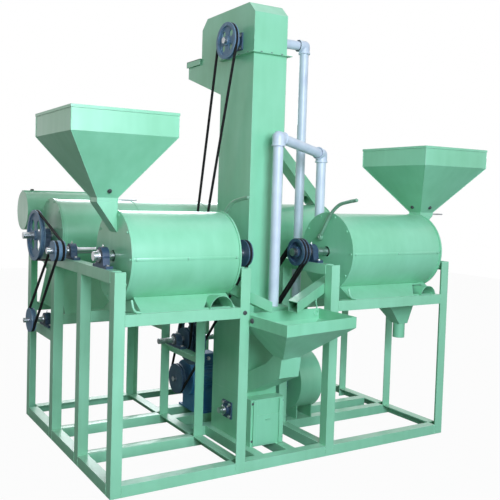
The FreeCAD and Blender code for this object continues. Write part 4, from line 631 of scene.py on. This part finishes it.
def makeMotorCover(sizes):
    # fins all round but under the lid and over the feet; the lid; rings and spokes over the fan;
    # lidHalf is the sine up to which the lid covers the fins, feetFrom the cosine where the feet begin
    cover = bmesh.new()
    for count in range(sizes["fins"]):
        turn = math.tau * (count + 0.5) / sizes["fins"]
        underLid = abs(math.sin(turn)) < sizes["lidHalf"] and math.cos(turn) > 0
        overFeet = math.cos(turn) < sizes["feetFrom"]
        if underLid or overFeet:
            continue
        root = sizes["z"] + sizes["radius"] - sizes["finSunk"]
        fin = addBlock(cover, (sizes["start"], sizes["y"] - sizes["finWall"], root),
                       (sizes["end"], sizes["y"] + sizes["finWall"], sizes["z"] + sizes["finTop"]))
        bmesh.ops.rotate(cover, verts=fin, cent=axisSpot(sizes["start"], sizes),
                         matrix=Matrix.Rotation(turn, 3, "X"))
    lid = addBlock(cover, (sizes["lidX"] - sizes["lid"], sizes["y"] - sizes["lid"], sizes["lidLow"]),
                   (sizes["lidX"] + sizes["lid"], sizes["y"] + sizes["lid"], sizes["lidHigh"]))
    soften(cover, edgesOf(lid), sizes["lidRound"], 3)
    centre = axisSpot(sizes["rear"] + sizes["ringProud"], sizes)
    for radius in sizes["grilleRings"]:
        addRing(cover, centre, toRight, radius, sizes["wire"], 40, 6)
    middle = axisSpot(sizes["rear"] + sizes["spokeProud"], sizes)
    for count in range(sizes["spokes"]):
        out = outward(count * math.tau / sizes["spokes"])
        addBar(cover, [middle + out * sizes["spokeStart"] / 1000, middle + out * sizes["spokeEnd"] / 1000],
               sizes["wire"], 6)
    makePiece(cover, "motor_fins_lid_and_grille", motorPaint, "machine")


def makeMotorMetal(sizes):
    # four lid screws, the cable gland and the lifting eye on its foot
    metal = bmesh.new()
    for dx in (-sizes["screwReach"], sizes["screwReach"]):
        for dy in (-sizes["screwReach"], sizes["screwReach"]):
            addDisc(metal, spot(sizes["lidX"] + dx, sizes["y"] + dy, sizes["lidHigh"]), toTop, sizes["screw"],
                    sizes["screwHeight"], 12, 0.8)
    gland = spot(*sizes["gland"])
    addDisc(metal, gland, toFront, sizes["glandHex"], sizes["glandHexHeight"], 6)
    addDisc(metal, gland + toFront * sizes["glandHexHeight"] / 1000, toFront, sizes["glandNut"],
            sizes["glandNutHeight"], 20, 0.85)
    eye = spot(sizes["eyeX"], sizes["y"], sizes["z"] + sizes["finTop"])
    addDisc(metal, eye - toTop * sizes["eyeSunk"] / 1000, toTop, sizes["eyeFoot"], sizes["eyeFootHeight"], 20)
    addRing(metal, eye + toTop * sizes["eyeRise"] / 1000, toRight, sizes["eye"], sizes["eyeWire"], 32, 10)
    makePiece(metal, "motor_screws_gland_and_lifting_eye", platedSteel, "machine")


makeMotorCover(motor)
makeMotorMetal(motor)
print("stage: motor")


# Socket rings on the air pipes' bends

socketRing = {
    "radius": 33.0, "width": 9.0, "reach": 44.0, "round": 2.0,
    "runs": (((980.0, 500.0, 2100.0), (1306.0, 500.0, 2100.0), (1306.0, 500.0, 444.0)),
             ((885.0, 130.0, 742.0), (885.0, 130.0, 1555.0),
              (1298.0, 310.0, 1500.0), (1298.0, 310.0, 1130.0))),
}


def makePipeRings(sizes):
    # a ring where each elbow's socket ends, on both sides of every bend of a run
    form = bmesh.new()
    for run in sizes["runs"]:
        points = [spot(*point) for point in run]
        for before, bend, after in zip(points, points[1:], points[2:]):
            for end in (before, after):
                way = (end - bend).normalized()
                start = bend + way * (sizes["reach"] - sizes["width"]) / 1000
                ring = addDisc(form, start, way, sizes["radius"], sizes["width"], 40)
                soften(form, capEdges(ring), sizes["round"], 3)
    makePiece(form, "pipe_socket_rings", pipePvc, "machine")


# Bolts of the trough, the rear cylinder, the clean-out gate and the elevator head

fixing = {
    "single": (((637.0, 0.0, 741.0), toFront, 9.0), ((663.0, -24.0, 706.0), -toRight, 10.5),
               ((40.0, 1345.0, 1266.0), toTop, 10.0), ((380.0, 1345.0, 1266.0), toTop, 8.0)),
    "gateX": (795.0, 970.0), "gateY": 145.0, "gateZ": (78.0, 262.0), "gateBolt": 5.5,
    "headFrontX": (822.0, 882.5, 943.0), "headFrontY": 205.0, "headSideX": (775.0, 990.0),
    "headSideY": (250.0, 330.0, 410.0, 490.0), "headZ": 1963.0, "headBolt": 6.0,
}


def makeFixings(sizes):
    form = bmesh.new()
    for place, way, size in sizes["single"]:
        addBolt(form, spot(*place), way, size)
    for x in sizes["gateX"]:
        for z in sizes["gateZ"]:
            addBolt(form, spot(x, sizes["gateY"], z), toFront, sizes["gateBolt"])
    places = [(x, sizes["headFrontY"]) for x in sizes["headFrontX"]]
    places += [(x, y) for y in sizes["headSideY"] for x in sizes["headSideX"]]
    for x, y in places:
        addBolt(form, spot(x, y, sizes["headZ"]), toTop, sizes["headBolt"])
    makePiece(form, "casing_and_trough_bolts", blackBolt, "machine")


# Guides that hold the clean-out gate on both sides

guide = {
    "middle": 882.5, "low": 56.0, "high": 276.0,
    # a spacer against the boot, and a cover strip over the gate's edge
    "strips": ({"from": 74.0, "to": 86.0, "front": 138.5, "back": 145.0},
               {"from": 66.0, "to": 86.0, "front": 136.0, "back": 139.0}),
}


def makeGuides(sizes):
    form = bmesh.new()
    for side in (-1, 1):
        for strip in sizes["strips"]:
            left, right = sorted(sizes["middle"] + side * strip[end] for end in ("from", "to"))
            addBlock(form, (left, strip["front"], sizes["low"]), (right, strip["back"], sizes["high"]))
    makePiece(form, "cleanout_guides", sheetEnamel, "machine")


# Arched outlets through the husk trays' fronts, and bent straps at the trays' other ends

arch = {"front": -1.0, "depth": 96.0, "cut": 768.0, "sunk": 4.0, "taper": 0.86, "wall": 2.2,
        "ends": ((514.0, 60.0), (1803.0, 52.0))}        # middle and radius of each
strap = {"starts": (86.0, 1262.0), "rod": 5.5,
         "bends": ((0.0, 20.0, 824.0), (3.0, 12.0, 794.0), (14.0, 8.0, 776.0), (38.0, 7.0, 771.0))}


def makeTrayOutlets(sizes, strapSizes):
    # each arch is a tapering tube cut off level, its upper part kept and thickened
    form = bmesh.new()
    for x, radius in sizes["ends"]:
        middle = spot(x, sizes["front"] + sizes["depth"] / 2, sizes["cut"] - sizes["sunk"])
        tube = bmesh.ops.create_cone(form, cap_ends=False, segments=64, radius1=radius / 1000,
                                     radius2=radius * sizes["taper"] / 1000, depth=sizes["depth"] / 1000,
                                     matrix=standing(middle, -toFront))["verts"]
        parts = tube + edgesOf(tube) + list({face for vert in tube for face in vert.link_faces})
        kept = bmesh.ops.bisect_plane(form, geom=parts, plane_co=spot(x, 0.0, sizes["cut"]), plane_no=toTop,
                                      clear_inner=True)["geom"]
        bmesh.ops.solidify(form, geom=[part for part in kept if isinstance(part, bmesh.types.BMFace)],
                           thickness=sizes["wall"] / 1000)
    for start in strapSizes["starts"]:
        points = smoothLine([spot(start + x, y, z) for x, y, z in strapSizes["bends"]], 5)
        addBar(form, points, strapSizes["rod"], 10)
    makePiece(form, "tray_arched_outlets_and_straps", sheetEnamel, "machine")


# Bent wire with an eye on the trough's front

hook = {"eyePlace": (1080.0, 40.9, 708.0), "eye": 12.5, "eyeWire": 2.6, "wire": 3.4,
        "bends": ((1080.0, 40.9, 721.0), (1083.0, 41.0, 742.0), (1078.0, 44.0, 762.0), (1086.0, 47.0, 784.0),
                  (1100.0, 47.0, 792.0))}


def makeHook(sizes):
    form = bmesh.new()
    addRing(form, spot(*sizes["eyePlace"]), toFront, sizes["eye"], sizes["eyeWire"], 32, 8)
    addBar(form, smoothLine([spot(*bend) for bend in sizes["bends"]], 6), sizes["wire"], 10)
    makePiece(form, "trough_wire_hook", sheetEnamel, "machine")


makePipeRings(socketRing)
makeFixings(fixing)
makeGuides(guide)
makeTrayOutlets(arch, strap)
makeHook(hook)
print("stage: fittings")


# Lid over the spout

spoutLid = {"low": (776.0, 728.0, 1976.0), "high": (989.0, 879.0, 2008.0), "wall": 2.5,
            "screwX": (830.0, 935.0), "screwY": 850.0, "screw": 4.6}


def makeSpoutLid(sizes):
    # folded sheet cap over the spout's end: a top, two sides and an end lip, held by two screws
    form, screws = bmesh.new(), bmesh.new()
    (x0, y0, z0), (x1, y1, z1) = sizes["low"], sizes["high"]
    wall = sizes["wall"]
    walls = (((x0, y0, z1 - wall), (x1, y1, z1)), ((x0, y0, z0), (x0 + wall, y1, z1)),
             ((x1 - wall, y0, z0), (x1, y1, z1)), ((x0, y1 - wall, z0), (x1, y1, z1)))
    for low, high in walls:
        addBlock(form, low, high)
    for x in sizes["screwX"]:
        addBolt(screws, spot(x, sizes["screwY"], z1), toTop, sizes["screw"])
    makePiece(form, "spout_lid", sheetEnamel, "machine")
    makePiece(screws, "spout_lid_screws", platedSteel, "machine")


makeSpoutLid(spoutLid)


# Bands and end bolts of the reel

reel = {
    "y": 1016.0, "z": 1030.0, "radius": 193.0, "start": 56.0, "end": 1850.0, "plate": 5.0,
    "band": 18.0, "bandWall": 2.6, "bands": (61.0, 500.0, 945.0, 1390.0, 1827.0),
    "boltRing": 186.0, "bolt": 5.0, "bolts": 12,
}


def makeReelDetail(sizes):
    bands, bolts = bmesh.new(), bmesh.new()
    for x in sizes["bands"]:
        addDisc(bands, axisSpot(x, sizes), toRight, sizes["radius"] + sizes["bandWall"], sizes["band"], 96)
    addBoltRing(bolts, sizes["start"] - sizes["plate"], -1, sizes)
    addBoltRing(bolts, sizes["end"] + sizes["plate"], 1, sizes)
    makePiece(bands, "reel_bands", sheetEnamel, "machine")
    makePiece(bolts, "reel_end_bolts", sheetEnamel, "machine")


makeReelDetail(reel)
print("stage: spout lid and reel")


# Low cross rails of the left bay, from post to post like the long base rails

crossRail = {"start": 50.0, "end": 613.0, "rows": (396.0, 783.0), "leg": 50.0, "wall": 5.0, "round": 1.0}


def makeCrossRails(sizes):
    # angle iron: an L drawn at one end, its heel at the upper front corner, pulled along to the other end
    form = bmesh.new()
    leg, wall = sizes["leg"], sizes["wall"]
    profile = ((0.0, leg), (leg, leg), (leg, leg - wall), (wall, leg - wall), (wall, 0.0), (0.0, 0.0))
    for row in sizes["rows"]:
        corners = [form.verts.new(spot(sizes["start"], row + y, z)) for y, z in profile]
        grown = bmesh.ops.extrude_face_region(form, geom=[form.faces.new(corners)])["geom"]
        ends = [part for part in grown if isinstance(part, bmesh.types.BMVert)]
        bmesh.ops.translate(form, verts=ends, vec=toRight * (sizes["end"] - sizes["start"]) / 1000)
    along = [edge for edge in form.edges if abs(edge.verts[0].co.x - edge.verts[1].co.x) > 0.1]
    soften(form, along, sizes["round"])
    makePiece(form, "left_bay_cross_rails", angleEnamel, "machine")


makeCrossRails(crossRail)
print("stage: cross rails")


# Weld beads up the corners where rails meet posts

weld = {
    "radius": 3.0, "step": 5.0, "margin": 4.0, "railHeight": 50.0,
    "swell": 0.18, "perStep": 2.3, "perX": 40.0, "perY": 17.0,       # how much beads swell, and their rhythm
    "rowX": (50.0, 613.0, 1186.0, 1900.0),
    "rows": ((0.0, 716.0), (396.0, 670.0), (783.0, 590.0), (1249.0, 590.0)),
    "baseX": (50.0, 613.0, 663.0, 1136.0, 1186.0, 1900.0), "baseY": (0.0, 1249.0),
    "crossX": (0.0, 663.0, 1136.0, 1950.0), "crossY": (50.0, 396.0, 446.0, 783.0, 833.0, 1199.0),
    "bearingRail": 893.0, "frontY": 50.0, "outerBackY": 1199.0, "innerBackY": 783.0,
}


def weldPlaces(sizes, rails):
    # x, y and lower end of every bead; "rows" holds the depth and lower edge of each long rail
    places = [(x, y, low) for x in sizes["rowX"] for y, low in sizes["rows"]]
    places += [(x, y, 0.0) for x in sizes["baseX"] for y in sizes["baseY"]]
    places += [(x, y, 0.0) for y in rails["rows"] for x in (rails["start"], rails["end"])]
    for x in sizes["crossX"]:
        back = sizes["outerBackY"] if x in (sizes["crossX"][0], sizes["crossX"][-1]) else sizes["innerBackY"]
        places += [(x, y, 0.0) for y in sizes["crossY"]]
        places += [(x, y, sizes["bearingRail"]) for y in (sizes["frontY"], back)]
    return places


def addWeld(form, start, end, sizes):
    # a row of small balls that swell and shrink along the seam
    steps = max(2, int((end - start).length * 1000 / sizes["step"]))
    for step in range(steps + 1):
        phase = step * sizes["perStep"] + start.x * sizes["perX"] + start.y * sizes["perY"]
        swell = 1.0 + sizes["swell"] * math.sin(phase)
        bmesh.ops.create_icosphere(form, subdivisions=1, radius=sizes["radius"] * swell / 1000,
                                   matrix=Matrix.Translation(start.lerp(end, step / steps)))


def makeWelds(sizes, rails):
    form = bmesh.new()
    for x, y, low in weldPlaces(sizes, rails):
        high = low + sizes["railHeight"]
        addWeld(form, spot(x, y, low + sizes["margin"]), spot(x, y, high - sizes["margin"]), sizes)
    makePiece(form, "frame_weld_beads", angleEnamel, "machine", 70.0)


makeWelds(weld, crossRail)
print("stage: welds")


# Floor, light and camera

stage = {
    "floor": 16.0, "view": "#eceeed", "light": "#8e928f", "dark": "#868a87", "grain": 1000.0 / 3,
    "rough": 0.9, "white": 0.965, "sky": 0.29, "skyColour": "#f3f6f8", "aim": (0.0, 0.0, 0.9),
}
lamps = [
    {"name": "key_window", "place": (-0.9, -4.0, 2.2),
     "size": (2.2, 1.8), "colour": "#e6edff", "power": 172.0},
    {"name": "fill_window", "place": (-4.0, -1.6, 1.8),
     "size": (2.4, 2.4), "colour": "#fff4e2", "power": 7.0},
    {"name": "top_window", "place": (0.2, 0.6, 5.2),
     "size": (3.0, 2.4), "colour": "#f2f6ff", "power": 22.0},
    {"name": "back_window", "place": (1.6, 4.2, 2.8),
     "size": (2.6, 2.2), "colour": "#f4f7ff", "power": 110.0},
]
pureWhite = (1.0, 1.0, 1.0, 1.0)


def makeFloor(sizes):
    # plain pale floor that takes the shadow but shows white to the camera
    form = bmesh.new()
    bmesh.ops.create_grid(form, x_segments=1, y_segments=1, size=sizes["floor"] / 2)
    mesh = bpy.data.meshes.new("studio_floor")
    form.to_mesh(mesh)
    form.free()
    floor = bpy.data.objects.new("studio_floor", mesh)
    bpy.context.scene.collection.objects.link(floor)
    material, tree, place = newMaterial("studio_floor_paint", sizes["view"])
    grain = addNode(tree, "TexNoise", {"Scale": millimetres(sizes["grain"]), "Detail": 2.0},
                    {"Vector": place})
    tone = addNode(tree, "Mix",
                   {"data_type": "RGBA", 6: hexColour(sizes["light"]), 7: hexColour(sizes["dark"])},
                   {0: grain.outputs["Fac"]})
    paint = addNode(tree, "BsdfPrincipled", {"Roughness": sizes["rough"]}, {"Base Color": tone.outputs[2]})
    glow = addNode(tree, "Emission", {"Color": pureWhite, "Strength": 1.0})
    path = addNode(tree, "LightPath")
    share = addNode(tree, "Math", {"operation": "MULTIPLY", 1: sizes["white"]},
                    {0: path.outputs["Is Camera Ray"]})
    mixed = addNode(tree, "MixShader", {}, {0: share.outputs[0], 1: paint.outputs[0], 2: glow.outputs[0]})
    addNode(tree, "OutputMaterial", links={"Surface": mixed.outputs[0]})
    floor.data.materials.append(material)


def makeLamp(light, aim):
    lamp = bpy.data.lights.new(light["name"], "AREA")
    lamp.shape = "RECTANGLE"
    lamp.size, lamp.size_y = light["size"]
    lamp.energy = light["power"]
    lamp.color = hexColour(light["colour"])[:3]
    holder = bpy.data.objects.new(light["name"], lamp)
    holder.location = light["place"]
    holder.rotation_euler = (Vector(aim) - Vector(light["place"])).to_track_quat("-Z", "Y").to_euler()
    bpy.context.scene.collection.objects.link(holder)


def makeWorld(sizes):
    # white to the camera and in reflections, dimmer as a light on the mill
    world = bpy.data.worlds.new("studio_white")
    bpy.context.scene.world = world
    world.use_nodes = True
    tree = world.node_tree
    tree.nodes.clear()
    path = addNode(tree, "LightPath")
    mirror = addNode(tree, "Math", {"operation": "MAXIMUM"},
                     {0: path.outputs["Is Glossy Ray"], 1: path.outputs["Is Transmission Ray"]})
    seen = addNode(tree, "Math", {"operation": "MAXIMUM"},
                   {0: path.outputs["Is Camera Ray"], 1: mirror.outputs[0]})
    dim = addNode(tree, "Background", {"Color": hexColour(sizes["skyColour"]), "Strength": sizes["sky"]})
    white = addNode(tree, "Background", {"Color": pureWhite, "Strength": 1.0})
    mixed = addNode(tree, "MixShader", {}, {0: seen.outputs[0], 1: dim.outputs[0], 2: white.outputs[0]})
    addNode(tree, "OutputWorld", links={"Surface": mixed.outputs[0]})


photoView = {"place": (-2.0768, -3.2024, 1.27), "yaw": 29.463, "pitch": 2.742, "roll": -1.576,
             "lens": 50.28, "sensor": 36.0, "shiftX": 0.1028, "shiftY": -0.0443}


def makeCamera(view):
    yaw, pitch, roll = (math.radians(view[key]) for key in ("yaw", "pitch", "roll"))
    forward = Vector((math.sin(yaw) * math.cos(pitch), math.cos(yaw) * math.cos(pitch), -math.sin(pitch)))
    right = Vector((math.cos(yaw), -math.sin(yaw), 0.0))
    down = forward.cross(right)
    right, down = (math.cos(roll) * right + math.sin(roll) * down,
                   math.cos(roll) * down - math.sin(roll) * right)
    data = bpy.data.cameras.new("photo_camera")
    data.lens = view["lens"]
    data.sensor_width = view["sensor"]
    data.shift_x, data.shift_y = view["shiftX"], view["shiftY"]
    camera = bpy.data.objects.new("photo_camera", data)
    turn = Matrix((right, -down, -forward)).transposed()
    camera.matrix_world = Matrix.Translation(view["place"]) @ turn.to_4x4()
    bpy.context.scene.collection.objects.link(camera)
    bpy.context.scene.camera = camera


makeFloor(stage)
makeWorld(stage)
for light in lamps:
    makeLamp(light, stage["aim"])
makeCamera(photoView)
bpy.context.scene.view_settings.view_transform = "Standard"
print("stage: floor, light and camera")
